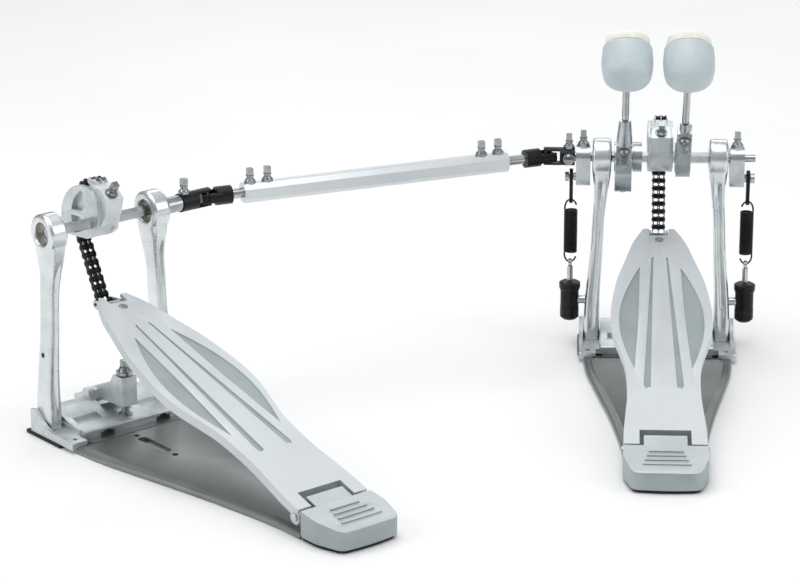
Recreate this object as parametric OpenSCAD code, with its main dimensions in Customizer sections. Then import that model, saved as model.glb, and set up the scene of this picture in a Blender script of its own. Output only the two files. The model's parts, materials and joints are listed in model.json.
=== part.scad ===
// Double bass drum pedal: a main pedal with two beaters, and a slave pedal that turns
// the second beater through a drive shaft with two universal joints.
// Each pedal is drawn in its own frame: X along the axle, Y towards the drum, Z up,
// with the floor point below the middle of its axle as the origin.
// The main pedal's frame is the frame of the whole part.

/* [Stance] */
// Height of the axle above the floor
axle_h = 200; // [190:1:215]
// Distance from the axle back to the footboard's hinge pin
hinge_back = 348; // [338:1:360]
// Height of the hinge pin above the floor
hinge_h = 19; // [18.5:0.1:21]
// Slope of the footboard at rest, in degrees
board_tilt = 16.6; // [15.8:0.1:17.2]
// Thickness of the rubber under the feet and the heel
rubber_t = 3.5; // [2.5:0.1:5]

/* [Slave pedal place] */
// Place of the slave pedal along the main axle
slave_x = -533; // [-560:1:-520]
// Place of the slave pedal behind the main axle
slave_y = -238; // [-260:1:-220]
// Turn of the slave pedal seen from above, in degrees
slave_turn = 42; // [38:1:45]

/* [Footboard] */
// Length of the footboard
board_l = 354; // [350:1:358]
// Greatest width of the footboard
board_w = 98; // [90:1:104]
// Depth of the footboard's side flange
board_t = 9; // [7:0.5:9.5]
// Thickness of the footboard's tread
board_skin = 3.5; // [2.5:0.1:4.5]
// Thickness of the footboard's side flange
board_wall = 3.2; // [2:0.1:4]
// Height of the tread's top above the hinge pin's axis, square to the tread
board_rise = 9.9; // [9:0.1:11]
// Depth of the lens panels and the long grooves in the tread
tread_cut = 1.4; // [0.8:0.1:1.8]
// Width of the notch that takes the heel's tongue
tongue_notch = 48; // [44:0.2:52]
// Width of the toe notch that the chain comes up through
toe_notch = 19.4; // [18.6:0.1:21]

/* [Heel and hinge] */
// Length of the heel block behind the hinge pin
heel_l = 61; // [54:1:68]
// Width of the heel block
heel_w = 79; // [74:1:84]
// Height of the heel block at its back edge
heel_back_h = 20.5; // [18:0.5:23]
// Gap on each side of the heel's tongue, where the hinge pin shows
tongue_gap = 3.8; // [2.4:0.1:4.6]
// Gap between the footboard's barrels and the heel block
heel_gap = 2.4; // [1.2:0.1:3]
// Radius of the hinge pin
hinge_pin_r = 3; // [2.5:0.1:3.5]
// Radius of the hinge barrels on the footboard
barrel_r = 6.5; // [5.5:0.1:7]

/* [Base plate and frame] */
// Thickness of the base plate
plate_t = 2.5; // [2:0.1:3]
// Distance that the base plate's sides stand in from the frame's outer sides
plate_in = 4; // [2:0.5:8]
// Distance from the middle of a post's foot to the frame's outer side
foot_out = 13; // [11:0.5:15]
// Width of each foot of the frame
foot_block_w = 23; // [20:0.5:24]
// Distance from the axle back to the end of the feet
foot_back = 58; // [54:1:64]
// Height of the foot's low end
foot_low_h = 10.5; // [9:0.5:14]
// Height of the lip outside the posts
foot_lip_h = 27; // [24:1:34]
// Height of the cross beam between the posts
beam_h = 23.5; // [22:0.5:28]
// Height of the rail behind the clamp bolt
rail_h = 14; // [12:0.5:16]

/* [Posts and bearings] */
// Distance between the middles of the two post hubs
hub_span = 117; // [112:1:122]
// Width of a post hub along the axle
hub_w = 19; // [16:0.5:20]
// Outer radius of a post hub
hub_r = 19; // [17:0.5:21]
// Distance that a post's foot stands outside its hub
post_splay = 7.5; // [4.5:0.5:8.5]
// Width of a post at its waist
post_w = 12.5; // [10:0.5:14]
// Depth of a post at its waist
post_d = 20; // [17:0.5:22]
// Outer radius of an axle bearing
bearing_r = 11; // [9.5:0.5:12]
// Width of an axle bearing
bearing_w = 9; // [7:0.5:11]

/* [Axle] */
// Width of the hexagonal axle across its flats
hex_af = 10; // [9.8:0.05:10.5]
// Radius of the axle's round journals
journal_r = 4.9; // [4.4:0.05:4.9]
// Radius of the thin end of the main axle
stub_r = 3.75; // [3:0.05:4.2]
// Reach of the main axle's thin end beyond the rocker
stub_out = 11.1; // [8.5:0.1:15]

/* [Cam and chain] */
// Radius of the chain's pins round the cam
chain_r = 39; // [38:0.5:40]
// Distance between the chain's pins on the cam
pitch = 8; // [7.6:0.1:8.3]
// Links between the toe pin and the cam
run_links = 9; // [9:1:9]
// Radius of a chain roller
roller_r = 2.5; // [2.1:0.1:2.7]
// Radius of a chain pin
pin_r = 1.2; // [1:0.05:1.4]
// Half height of a chain plate at its pins
plate_r = 3.4; // [3:0.1:3.5]
// Gap between the chain plates and the cam's groove
groove_gap = 0.8; // [0.6:0.1:1.2]
// Width of the cam over its flanges
cam_w = 25; // [24.6:0.1:25.6]
// Thickness of a cam flange
flange_t = 4.95; // [4.4:0.05:5]
// Width of the block behind the cam that holds its key bolt
cam_block_w = 18.6; // [17:0.1:20]

/* [Beaters] */
// Lean of the beaters at rest, in degrees
beater_lean = 34.5; // [30:0.5:38]
// Distance from the axle to the middle of a beater head, along its rod
beater_l = 158; // [145:1:165]
// Distance between the axle and a beater rod, side by side
rod_offset = 12; // [11.8:0.1:13]
// Radius of a beater rod
rod_r = 3.7; // [3.4:0.05:4]
// Radius of a beater head
head_r = 25.3; // [23:0.1:27]
// Tilt of a beater head's face from square to its rod, in degrees
head_tilt = 18; // [0:1:22]
// Length of the beater's moulded shell
shell_l = 44.5; // [38:0.5:48]
// Thickness of the beater's felt
felt_t = 9; // [6:0.5:12]
// Place of the main beater along the axle
main_beater_x = 22.5; // [22:0.1:24]
// Distance from the middle of the left post hub to the second beater
second_beater_in = 21.5; // [21.1:0.1:21.6]

/* [Spring gear] */
// Gap between a post hub and the spring rocker beside it
rocker_gap = 2; // [1.5:0.1:3]
// Width of a spring rocker along the axle
rocker_w = 14.5; // [13:0.1:14.5]
// Distance from the axle down to a rocker's pin
rocker_arm = 21; // [19:0.5:23]
// Distance from a rocker's outer side to the middle of its spring
spring_out = 4.5; // [4.5:0.1:5.5]
// Outer radius of a spring
spring_r = 7; // [6:0.1:7.5]
// Radius of the spring wire
wire_r = 0.85; // [0.7:0.05:0.9]
// Height of the lower end of the coils above the floor
coil_low = 98; // [95:0.5:100]
// Length of the coiled part of a spring
coil_l = 47; // [44:0.5:49]
// Turns in each spring
coil_turns = 20; // [14:1:20]
// Reach of the end loops beyond the coils
loop_h = 9.5; // [9:0.1:10.5]
// Height of the spring's stud above the floor
stud_h = 48; // [46:0.5:52]
// Radius of the stud that carries a spring adjuster
stud_r = 4.3; // [3.5:0.1:4.5]

/* [Drive shaft] */
// Distance from the left rocker's inner side to the main universal joint
main_joint_out = 42; // [41:0.5:44]
// Distance from the middle of the slave's right post hub to its universal joint
slave_joint_out = 61.5; // [58.5:0.5:65.5]
// Outer radius of the universal joint's forks
yoke_r = 9.2; // [8.5:0.1:9.6]
// Distance from a joint's centre to the back of its fork on the tube side
yoke_back = 27; // [24:0.5:30]
// Side of the drive tube
tube_side = 18.8; // [18:0.5:22]
// Distance from the slave universal joint to the drive tube
tube_gap = 39; // [38:0.5:46]
// Distance from the drive tube to the main universal joint
tube_gap_main = 47.5; // [40:0.5:50]
// Radius of the rods that slide in the drive tube
drive_rod_r = 5; // [4:0.1:5.5]

/* [Fits] */
// Radial clearance of every turning or sliding fit
running = 0.05; // [0.03:0.01:0.08]
// Gap between neighbours that pass each other
gap = 0.3; // [0.2:0.05:0.5]

/* [Hidden] */
// widths that follow from the distance between the post hubs
post_span = hub_span + 2*post_splay;
foot_w = post_span + 2*foot_out;
plate_w = foot_w - 2*plate_in;
rocker_x0 = hub_span/2 + hub_w/2 + rocker_gap;
spring_x = rocker_x0 + rocker_w + spring_out;
stub_end = rocker_x0 + rocker_w + stub_out;
second_beater_x = second_beater_in - hub_span/2;
main_joint_x = -rocker_x0 - main_joint_out;
slave_joint_x = hub_span/2 + slave_joint_out;
$fn = 48;
floor_z = rubber_t;
deck_z = rubber_t + plate_t;
hex_r = hex_af/2/cos(30);
cam_in = cam_w/2 - flange_t;
foot_in = foot_w/2 - foot_block_w;
board_start = -2.5;
board_end = board_start + board_l;
skin_z = board_rise - board_skin;

// chain geometry, in the YZ plane of a pedal
toe_s = board_end + 10.8;
toe_n = board_rise - 14.5;
toe_y = -hinge_back + toe_s*cos(board_tilt) - toe_n*sin(board_tilt);
toe_z = hinge_h + toe_s*sin(board_tilt) + toe_n*cos(board_tilt);
toe_dist = norm([toe_y, axle_h - toe_z]);
run_l = sqrt(toe_dist*toe_dist - chain_r*chain_r);
run_lean = atan2(-toe_y, axle_h - toe_z) + asin(chain_r/toe_dist);
link_turn = 2*asin(pitch/2/chain_r);
wrap_links = 9;
free_links = 6;
groove_r = chain_r - plate_r - groove_gap;
plate_thin = 0.8;
inner_plate_x = [-4.9, -1, 1, 4.9];
outer_plate_x = [-5.95, 0, 5.95];
roller_x = [-2.95, 2.95];
roller_w = 3.2;
pin_half = 7;
chain_half = 7.2;

// drive shaft geometry
slave_joint = [slave_x + slave_joint_x*cos(slave_turn), slave_y + slave_joint_x*sin(slave_turn)];
drive_vec = [main_joint_x, 0] - slave_joint;
drive_l = norm(drive_vec);
drive_turn = atan2(drive_vec[1], drive_vec[0]);

// clamp geometry
jaw_pivot_y = 8;
jaw_pivot_z = 28;
jaw_bolt_y = -31;
jaw_boss_z = 54;
jaw_w = 26;
jaw_block_w = 17;
jaw_low_z = 24;
beam_y = 15;
lip_l = 24;
lip_h = 3;
jaw_pin_r = 3;

// spring gear geometry
pin_z = axle_h - rocker_arm;
coil_top = coil_low + coil_l;
hole_r = 2.5;
loop_slack = 0.45;
hook_hole_z = coil_top + loop_h + hole_r - wire_r - gap - loop_slack;
eye_hole_z = coil_low - loop_h - hole_r + wire_r + gap + loop_slack;
hook_pin_r = 2.5;
hook_t = 3.6;
stud_out = spring_x - 4.6;

function mirrored(p) = concat(p, [for (i = [len(p)-1:-1:0]) [-p[i][0], p[i][1]]]);
function spline_at(a, b, c, d, t) =
    0.5*(2*b + (c - a)*t + (2*a - 5*b + 4*c - d)*t*t + (3*b - a - 3*c + d)*t*t*t);
function smooth(p, steps) = concat(
    [for (i = [0:len(p)-2], k = [0:steps-1])
        spline_at(p[max(i-1, 0)], p[i], p[i+1], p[min(i+2, len(p)-1)], k/steps)],
    [p[len(p)-1]]);
function arc(r, a0, a1, n, c = [0, 0]) =
    [for (i = [0:n]) let (a = a0 + (a1 - a0)*i/n) c + r*[cos(a), sin(a)]];

module place_slave() {
    translate([slave_x, slave_y, 0]) rotate([0, 0, slave_turn]) children();
}
module at_axle() {
    translate([0, 0, axle_h]) children();
}
module on_board() {
    translate([0, -hinge_back, hinge_h]) rotate([board_tilt, 0, 0]) children();
}
// a shape drawn in YZ, made w wide along X about x
module slab(x, w) {
    translate([x - w/2, 0, 0]) rotate([90, 0, 90]) linear_extrude(w) children();
}
// a cylinder along X from x0 to x1
module rod_x(x0, x1, r, fn = 48) {
    translate([x0, 0, 0]) rotate([0, 90, 0]) cylinder(h = x1 - x0, r = r, $fn = fn);
}
module both_sides() {
    children();
    mirror([1, 0, 0]) children();
}
// drum key bolt: shank down from z = 0, washer, neck and square head above it
module key_bolt(shank = 4, head = 6.6) {
    translate([0, 0, -shank]) cylinder(h = shank, r = 2.4);
    cylinder(h = 2.2, r = 5.8);
    translate([0, 0, 2.2]) cylinder(h = 2.6, r1 = 5, r2 = 3.6);
    translate([0, 0, 4.8]) cylinder(h = 3.2, r = 3);
    translate([0, 0, 6.6]) cylinder(h = 1.4, r = 4);
    translate([0, 0, 8]) linear_extrude(head) square(5.8, center = true);
}
module key_hole(shank = 4) {
    translate([0, 0, -shank - gap]) cylinder(h = shank + 2*gap, r = 2.4 + running);
}

// base plate

plate_stations = [
    [0.5, -foot_back - gap], [0.478, -99], [0.42, -150], [0.339, -220], [0.2845, -280], [0.2565, -325]
];
plate_edge = smooth([for (p = plate_stations) [p[0]*plate_w, p[1]]], 4);
plate_tail_y = -hinge_back - barrel_r - 0.5;
slot_x = -13;

function plate_outline(inset) = mirrored(concat(
    [for (p = plate_edge) [p[0] - inset, p[1]]],
    [[plate_edge[len(plate_edge)-1][0] - inset, plate_tail_y]]));

// the part of the outline between two insets, along both long edges
module plate_band(inner, outer) {
    difference() {
        polygon(plate_outline(outer));
        polygon(plate_outline(inner));
    }
}
module base_plate() {
    difference() {
        union() {
            translate([0, 0, floor_z]) linear_extrude(plate_t) {
                polygon(plate_outline(1.5));
                translate([-foot_in + gap, -foot_back - 2]) square([2*foot_in - 2*gap, foot_back + 8]);
                translate([-heel_w/2 + 8, plate_tail_y - heel_l*0.7]) square([heel_w - 16, heel_l*0.7 + 1]);
            }
            // turned down edge, and the raised bead inside it
            translate([0, 0, 0.8]) linear_extrude(deck_z - 2.2) plate_band(2, 0);
            translate([0, 0, deck_z - 2]) linear_extrude(1.3) plate_band(3, 0.7);
            translate([0, 0, deck_z - 0.5]) linear_extrude(1.1) plate_band(9.5, 7.5);
        }
        translate([slot_x - 5, -116, 0]) cube([10, 37, 20]);
        translate([slot_x, -116, 0]) cylinder(h = 20, r = 5);
        translate([slot_x, -79, 0]) cylinder(h = 20, r = 5);
        for (y = [-68, -131]) translate([slot_x, y, 0]) cylinder(h = 20, r = 3);
    }
}

// frame

foot_floor_z = 8.5;
foot_front = 13;
lip_t = 4;
lip_profile = [
    [-foot_back, floor_z], [foot_front, floor_z], [foot_front, foot_lip_h - 1.5], [5, foot_lip_h],
    [0.5, foot_lip_h - 4], [-5, foot_lip_h - 9], [-12, foot_low_h + 3.4], [-19, foot_low_h + 1],
    [-27, foot_low_h], [-foot_back + 1, foot_low_h], [-foot_back, foot_low_h - 1]
];
beam_profile = [
    [-47.5, rail_h - 1.2], [-46.3, rail_h], [-29, rail_h], [-18, rail_h + 1.6], [-8, beam_h - 4.6],
    [-1, beam_h - 1], [2, beam_h], [beam_y - 1, beam_h], [beam_y, beam_h - 1], [beam_y, deck_z], [-47.5, deck_z]
];
post_foot_d = 26;

module frame() {
    difference() {
        union() {
            both_sides() {
                // floor of the foot, its outer lip and its corner lug
                translate([foot_in, -foot_back + 18, floor_z])
                    cube([foot_block_w, foot_front + foot_back - 18, foot_floor_z - floor_z]);
                slab(foot_w/2 - lip_t/2, lip_t) polygon(lip_profile);
                translate([foot_w/2 - 17, -foot_back, floor_z]) cube([15, 20, foot_low_h - floor_z]);
                translate([foot_in, -foot_back + 19, foot_floor_z - 1])
                    cube([2, 50, foot_low_h + 4 - foot_floor_z]);
            }
            // beam between the posts and hoop lip
            slab(0, 2*foot_in + 2) polygon(beam_profile);
            translate([-26, 6.5, floor_z]) cube([52, beam_y + lip_l - 6.5, lip_h + 0.5]);
            // ears of the clamp jaw
            both_sides() slab(jaw_w/2 + gap + 3, 6) polygon(concat(
                [[jaw_pivot_y - 9, beam_h - 2], [jaw_pivot_y + 6, beam_h - 2]],
                arc(6, 0, 180, 8, [jaw_pivot_y, jaw_pivot_z])));
        }
        // slot in the beam for the jaw
        translate([-jaw_w/2 - gap, -24, rail_h + 0.5]) cube([jaw_w + 2*gap, 60, 60]);
        translate([0, jaw_bolt_y, rail_h]) cylinder(h = 20, r = 8);
        translate([-jaw_w/2 - gap, beam_y - 10, lip_h + 4]) cube([jaw_w + 2*gap, 60, 60]);
        rod_at_pivot(jaw_pin_r + running, 60);
        // arched notches in the rear face, and shallow pans in the ramp
        both_sides() translate([32, -foot_back, deck_z]) {
            translate([-8, 0, -1]) cube([16, 20, 5]);
            translate([0, 20, 0]) rotate([90, 0, 0]) cylinder(h = 20, r = 6);
        }
        both_sides() translate([22, -26, rail_h - 1.2]) cube([28, 12, 20]);
        // screw holes in the lugs
        both_sides() translate([foot_w/2 - 9, -foot_back + 9, 0]) cylinder(h = 20, r = 2.2);
    }
}
module rod_at_pivot(r, l) {
    translate([0, jaw_pivot_y, jaw_pivot_z]) rod_x(-l/2, l/2, r);
}

// hoop clamp

mouth_z = lip_h + floor_z + 7.5;
module clamp_jaw() {
    difference() {
        union() {
            slab(0, jaw_block_w) polygon([
                [jaw_bolt_y - 8, jaw_low_z + 1], [jaw_bolt_y - 7, jaw_low_z], [-12, jaw_low_z],
                [jaw_pivot_y - 6, jaw_pivot_z - 6.5], [jaw_pivot_y, jaw_pivot_z + 6], [-4, jaw_pivot_z + 9],
                [jaw_bolt_y + 12, jaw_boss_z - 8], [jaw_bolt_y + 8, jaw_boss_z - 1], [jaw_bolt_y + 7, jaw_boss_z],
                [jaw_bolt_y - 7, jaw_boss_z], [jaw_bolt_y - 8, jaw_boss_z - 1]]);
            slab(0, jaw_w) polygon([
                [jaw_pivot_y - 7, jaw_pivot_z - 5], [beam_y, mouth_z], [beam_y + lip_l - 2, mouth_z],
                [beam_y + lip_l, mouth_z + 2], [beam_y + lip_l - 3, mouth_z + 5], [beam_y + 4, jaw_pivot_z - 3],
                [jaw_pivot_y + 5, jaw_pivot_z + 4], [jaw_pivot_y, jaw_pivot_z + 6], [jaw_pivot_y - 6, jaw_pivot_z + 4]]);
        }
        translate([0, jaw_bolt_y, 0]) cylinder(h = 80, r = 4 + running);
        rod_at_pivot(jaw_pin_r + running, 60);
    }
    rod_at_pivot(jaw_pin_r, jaw_w + 2*gap + 12);
    // rubber under the nose
    difference() {
        translate([-jaw_w/2 + 2, beam_y + 4, mouth_z - 2]) cube([jaw_w - 4, lip_l - 8, 3]);
        translate([-jaw_w/2, beam_y, mouth_z - running]) cube([jaw_w, lip_l, 6]);
    }
}
bolt_foot_z = rail_h + gap;
module clamp_bolt() {
    translate([0, jaw_bolt_y, bolt_foot_z]) cylinder(h = jaw_boss_z + 4 - bolt_foot_z, r = 4);
    translate([0, jaw_bolt_y, bolt_foot_z]) cylinder(h = 1.6, r = 6.5);
    translate([0, jaw_bolt_y, jaw_boss_z + 1]) cylinder(h = 3, r = 8);
    translate([0, jaw_bolt_y, jaw_boss_z + 4]) cylinder(h = 4, r1 = 6.5, r2 = 4.5);
    translate([0, jaw_bolt_y, jaw_boss_z + 8]) linear_extrude(7) square(6, center = true);
}

// posts and bearings

// a post from its foot up: height, middle along X, width along X, depth along Y
post_hub_x = hub_span/2;
post_foot_x = post_span/2;
post_stations = [
    [foot_floor_z, post_foot_x + 0.4, post_w + 4, post_foot_d],
    [24, post_foot_x + 0.4, post_w + 4, post_foot_d - 0.5],
    [46, post_foot_x, post_w + 3.2, post_d + 2.4],
    [70, post_foot_x - 1.4, post_w + 2, post_d + 0.8],
    [100, post_foot_x - 3.6, post_w + 0.6, post_d],
    [axle_h - 62, post_hub_x + 2.4, post_w, post_d + 0.2],
    [axle_h - 52, post_hub_x + 1.6, post_w + 0.4, post_d + 0.8],
    [axle_h - 43, post_hub_x + 0.9, post_w + 1, post_d + 2.6],
    [axle_h - 35, post_hub_x + 0.4, post_w + 2, post_d + 5.6],
    [axle_h - 27, post_hub_x + 0.1, hub_w - 3, post_d + 9],
    [axle_h - 19, post_hub_x, hub_w - 1, post_d + 12],
    [axle_h - 10, post_hub_x, hub_w - 0.5, post_d + 14]
];
module post(hole_z, hole_r) {
    n = len(post_stations) - 1;
    difference() {
        union() {
            at_axle() rod_x(post_hub_x - hub_w/2 + 1, post_hub_x + hub_w/2 - 1, hub_r);
            at_axle() rod_x(post_hub_x - hub_w/2, post_hub_x + hub_w/2, hub_r - 1.5);
            intersection() {
                rotate([90, 0, 0]) linear_extrude(80, center = true) polygon(concat(
                    [for (p = post_stations) [p[1] + p[2]/2, p[0]]],
                    [for (i = [n:-1:0]) let (p = post_stations[i]) [p[1] - p[2]/2, p[0]]]));
                slab(post_foot_x, 60) polygon(concat(
                    [for (p = post_stations) [p[3]/2, p[0]]],
                    [for (i = [n:-1:0]) let (p = post_stations[i]) [-p[3]/2, p[0]]]));
            }
        }
        at_axle() rod_x(post_hub_x - hub_w, post_hub_x + hub_w, bearing_r + running);
        translate([0, 0, hole_z]) rod_x(post_foot_x - 1, post_foot_x + 20, hole_r);
    }
}
module stud() {
    translate([0, 0, stud_h]) {
        rod_x(post_span/2, stud_out, stud_r);
    }
}
module bearing() {
    at_axle() difference() {
        rod_x(hub_span/2 - bearing_w/2, hub_span/2 + bearing_w/2, bearing_r);
        rod_x(hub_span/2 - bearing_w, hub_span/2 + bearing_w, journal_r + running);
        for (end = [-1, 1]) translate([hub_span/2 + end*bearing_w/2, 0, 0]) rotate([0, 90, 0])
            difference() {
                cylinder(h = 1.2, r = bearing_r - 1.8, center = true);
                cylinder(h = 3, r = journal_r + 1.8, center = true);
            }
    }
}

// heel, hinge and pads

heel_y = -hinge_back - heel_l;
heel_front_y = -hinge_back - barrel_r - heel_gap;
heel_edge = concat(
    [[heel_w/2 - 0.5, heel_front_y], [heel_w/2, heel_front_y - 4], [heel_w/2, heel_y + 33],
        [heel_w/2 - 1.2, heel_y + 26], [heel_w/2 - 3.4, heel_y + 18]],
    arc(9, -14, -80, 6, [heel_w/2 - 14.8, heel_y + 10.6]),
    [[12, heel_y + 0.4], [0, heel_y]]);
tongue_w = tongue_notch - 2*tongue_gap;
tongue_front = 9.4;
notch_front = tongue_front + 9.2;

module heel_block() {
    difference() {
        union() {
            intersection() {
                translate([0, 0, floor_z]) linear_extrude(40) polygon(mirrored(heel_edge));
                slab(0, heel_w + 2) polygon([
                    [heel_y - 1, 0], [0, 0], [0, 28.4], [-hinge_back - 5, 28.4],
                    [heel_y + 5, heel_back_h + 1.2], [heel_y + 1.5, heel_back_h], [heel_y - 1, heel_back_h - 4]]);
            }
            // tongue that the pin passes through, level with the tread
            intersection() {
                slab(0, tongue_w) polygon([
                    [heel_front_y - 6, floor_z], [-hinge_back + 4, floor_z], [-hinge_back + tongue_front, hinge_h - 2],
                    [-hinge_back + tongue_front - 2, hinge_h + 15], [heel_front_y, 28.4], [heel_front_y - 6, 28.4]]);
                on_board() translate([-heel_w, -60, -60]) cube([2*heel_w, 200, 60 + board_rise - 0.2]);
            }
            // plain grip ribs across the top
            for (k = [0:3]) translate([-22 + k*2, heel_y + 14 + k*8, heel_back_h]) cube([44 - 4*k, 2.4, 4.2 + k*1.1]);
        }
        translate([0, -hinge_back, hinge_h]) rod_x(-heel_w, heel_w, hinge_pin_r + running);
        // pocket for the tail of the base plate
        translate([-heel_w/2 + 8 - gap, plate_tail_y - heel_l*0.7 - gap, floor_z - 1])
            cube([heel_w - 16 + 2*gap, heel_l, plate_t + 1 + 0.01]);
    }
}
module hinge_pin() {
    translate([0, -hinge_back, hinge_h]) {
        rod_x(-barrel_out - 0.4, barrel_out + 0.4, hinge_pin_r);
        both_sides() rod_x(barrel_out + 0.2, barrel_out + 2, hinge_pin_r + 1.2);
    }
}
module pads() {
    // strip under the frame, and the pad under the heel
    translate([-foot_w/2 - 1.2, -38, 0]) cube([foot_w + 2.4, 58, rubber_t]);
    linear_extrude(rubber_t) difference() {
        polygon(mirrored([for (p = heel_edge) [max(p[0] - 2, 0), p[1] + (p[1] < heel_y + 12 ? 2 : 0)]]));
        translate([-8, heel_y + 20]) square([16, 14]);
    }
}

// footboard

board_stations = [
    [0, 0.786], [0.056, 0.786], [0.124, 0.749], [0.206, 0.710], [0.288, 0.712], [0.362, 0.755],
    [0.429, 0.865], [0.491, 0.965], [0.551, 1.004], [0.619, 0.992], [0.734, 0.890], [0.828, 0.727],
    [0.930, 0.536], [1, 0.316]
];
barrel_out = board_stations[0][1]*board_w/2;
function board_pts(inset) = smooth([for (p = board_stations)
    [p[1]*board_w/2 - inset, board_start + p[0]*board_l]], 3);
lens_steps = 14;
lens_low = [27.3, 114];
lens_top = [20.2, 283];
lens_bulge = 17.4;
lens = concat(
    [for (i = [0:lens_steps]) let (t = i/lens_steps)
        lens_low*(1 - t) + lens_top*t + [lens_bulge*pow(sin(180*t), 0.95), 0]],
    [for (i = [1:3]) let (t = 1 - i/4) lens_low*(1 - t*1) + lens_top*t + [-1.2*sin(180*t), 0]]);
groove = [[6.4, 301], [8.2, 299], [19, 88], [17.5, 83], [12.4, 85]];

module footboard() {
    on_board() difference() {
        union() {
            difference() {
                translate([0, 0, board_rise - board_t]) linear_extrude(board_t) polygon(mirrored(board_pts(0)));
                translate([0, 0, board_rise - board_t - 1]) linear_extrude(board_t - board_skin + 1)
                    intersection() {
                        polygon(mirrored(board_pts(board_wall)));
                        translate([-board_w, 26]) square([2*board_w, board_l]);
                    }
            }
            for (s = [90, 170, 250]) translate([-28, s, skin_z - 2.5]) cube([56, 2.4, 3]);
            both_sides() rod_x(tongue_notch/2, barrel_out, barrel_r);
        }
        translate([-tongue_notch/2, -20, -20]) cube([tongue_notch, 20 + notch_front, 60]);
        rod_x(-board_w, board_w, hinge_pin_r + running);
        // toe notch and the countersunk hole of the toe screw
        translate([-toe_notch/2, board_end - 12, -20]) cube([toe_notch, 30, 60]);
        translate([0, clip_s, skin_z - 5]) cylinder(h = 20, r = 2 + running);
        translate([0, clip_s, board_rise - 1.4]) cylinder(h = 4, r = 4.4);
        // lens panels and long grooves
        translate([0, 0, board_rise - tread_cut]) linear_extrude(5) {
            both_sides() polygon(lens);
            both_sides() polygon(groove);
        }
    }
}
clip_s = board_end - 19.5;
module toe_clip() {
    ear_x = chain_half + gap;
    on_board() {
        difference() {
            union() {
                translate([-ear_x - 2, board_end - 26, skin_z - 2.6]) cube([2*ear_x + 4, 23.5, 2.5]);
                both_sides() slab(ear_x + 1, 2) polygon([
                    [board_end - 25, skin_z - 0.2], [board_end - 4, skin_z - 0.2], [toe_s, toe_n + 4.6],
                    [toe_s + 3.5, toe_n + 3], [toe_s + 4.6, toe_n], [toe_s + 3.2, toe_n - 3.4],
                    [toe_s, toe_n - 4.6], [toe_s - 4, toe_n - 3.6], [board_end - 25, skin_z - 4]]);
            }
            translate([0, toe_s, toe_n]) rod_x(-20, 20, 1.6 + running);
            translate([0, clip_s, 0]) cylinder(h = 20, r = 2 + running);
        }
        translate([0, clip_s, skin_z - 4]) cylinder(h = board_skin + 3.6, r = 2);
        translate([0, clip_s, board_rise - 1.3]) difference() {
            cylinder(h = 1.3, r = 4);
            translate([-2.6, -0.5, 0.5]) cube([5.2, 1, 2]);
            translate([-0.5, -2.6, 0.5]) cube([1, 5.2, 2]);
        }
    }
}

// chain: each link lies along +Y from its own first pin

module link_outline(l, bores) {
    difference() {
        union() {
            circle(r = plate_r);
            translate([l, 0]) circle(r = plate_r);
            translate([0, -plate_r*0.7]) square([l, plate_r*1.4]);
        }
        if (bores) {
            circle(r = pin_r + running);
            translate([l, 0]) circle(r = pin_r + running);
        }
    }
}
module inner_link(l) {
    for (x = inner_plate_x) slab(x, plate_thin) link_outline(l, true);
    for (x = roller_x, y = [0, l]) translate([0, y, 0]) difference() {
        rod_x(x - roller_w/2, x + roller_w/2, roller_r, 24);
        rod_x(x - roller_w, x + roller_w, pin_r + running, 24);
    }
}
module outer_link(l, first = true, last = true) {
    for (x = outer_plate_x) slab(x, plate_thin) link_outline(l, false);
    if (first) rod_x(-pin_half, pin_half, pin_r, 24);
    if (last) translate([0, l, 0]) rod_x(-pin_half, pin_half, pin_r, 24);
}
// straight run from the toe pin to the cam; the cam end of its last link stays open
module chain_run() {
    link_l = run_l/run_links;
    translate([0, toe_y, toe_z]) rotate([90 - run_lean, 0, 0]) {
        for (i = [0:run_links-1]) translate([0, i*link_l, 0]) {
            if (i % 2 == 0) outer_link(link_l, true, i < run_links - 1);
            else inner_link(link_l);
        }
        rod_x(-chain_half - gap - 2.6, chain_half + gap + 2.6, 1.6);
    }
}
// links from pin number j0 to pin number j1 round the cam; pin 0 meets the run
module chain_on_cam(j0, j1) {
    at_axle() for (j = [j0:j1-1]) rotate([-run_lean + j*link_turn, 0, 0]) translate([0, chain_r, 0])
        rotate([90 + link_turn/2, 0, 0]) {
            if (j % 2 == 0) inner_link(pitch);
            else outer_link(pitch);
        }
}

// axles and cams, drawn at the height of the axle

module main_shaft() {
    at_axle() {
        rod_x(collar_x1 - collar_w + 1.2, hub_in_l, journal_r);
        rod_x(hub_in_l, hub_span/2 - hub_w/2 - 0.4, hex_r, 6);
        rod_x(hub_span/2 - hub_w/2 - 0.4, rocker_x0 + rocker_w + 0.5, journal_r);
        rod_x(rocker_x0 + rocker_w + 0.5, stub_end, stub_r);
    }
}
collar_x1 = -18.6;
collar_w = 8.7;
collar_r = 15;
hub_in_l = collar_x1 + 0.6;
module second_shaft() {
    at_axle() difference() {
        union() {
            rod_x(main_joint_x + 13.3, -hub_span/2 + hub_w/2 + 0.4, journal_r);
            rod_x(-hub_span/2 + hub_w/2 + 0.4, collar_x1 - collar_w + 1, hex_r, 6);
            rod_x(collar_x1 - collar_w, collar_x1, collar_r);
        }
        rod_x(collar_x1 - collar_w + 0.9, collar_x1 + 5, journal_r + running);
        translate([collar_x1, 0, 0]) rotate([0, 90, 0]) difference() {
            cylinder(h = 1.6, r = collar_r - 2, center = true);
            cylinder(h = 4, r = journal_r + 3, center = true);
        }
    }
}
slave_ring_w = 15;
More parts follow.
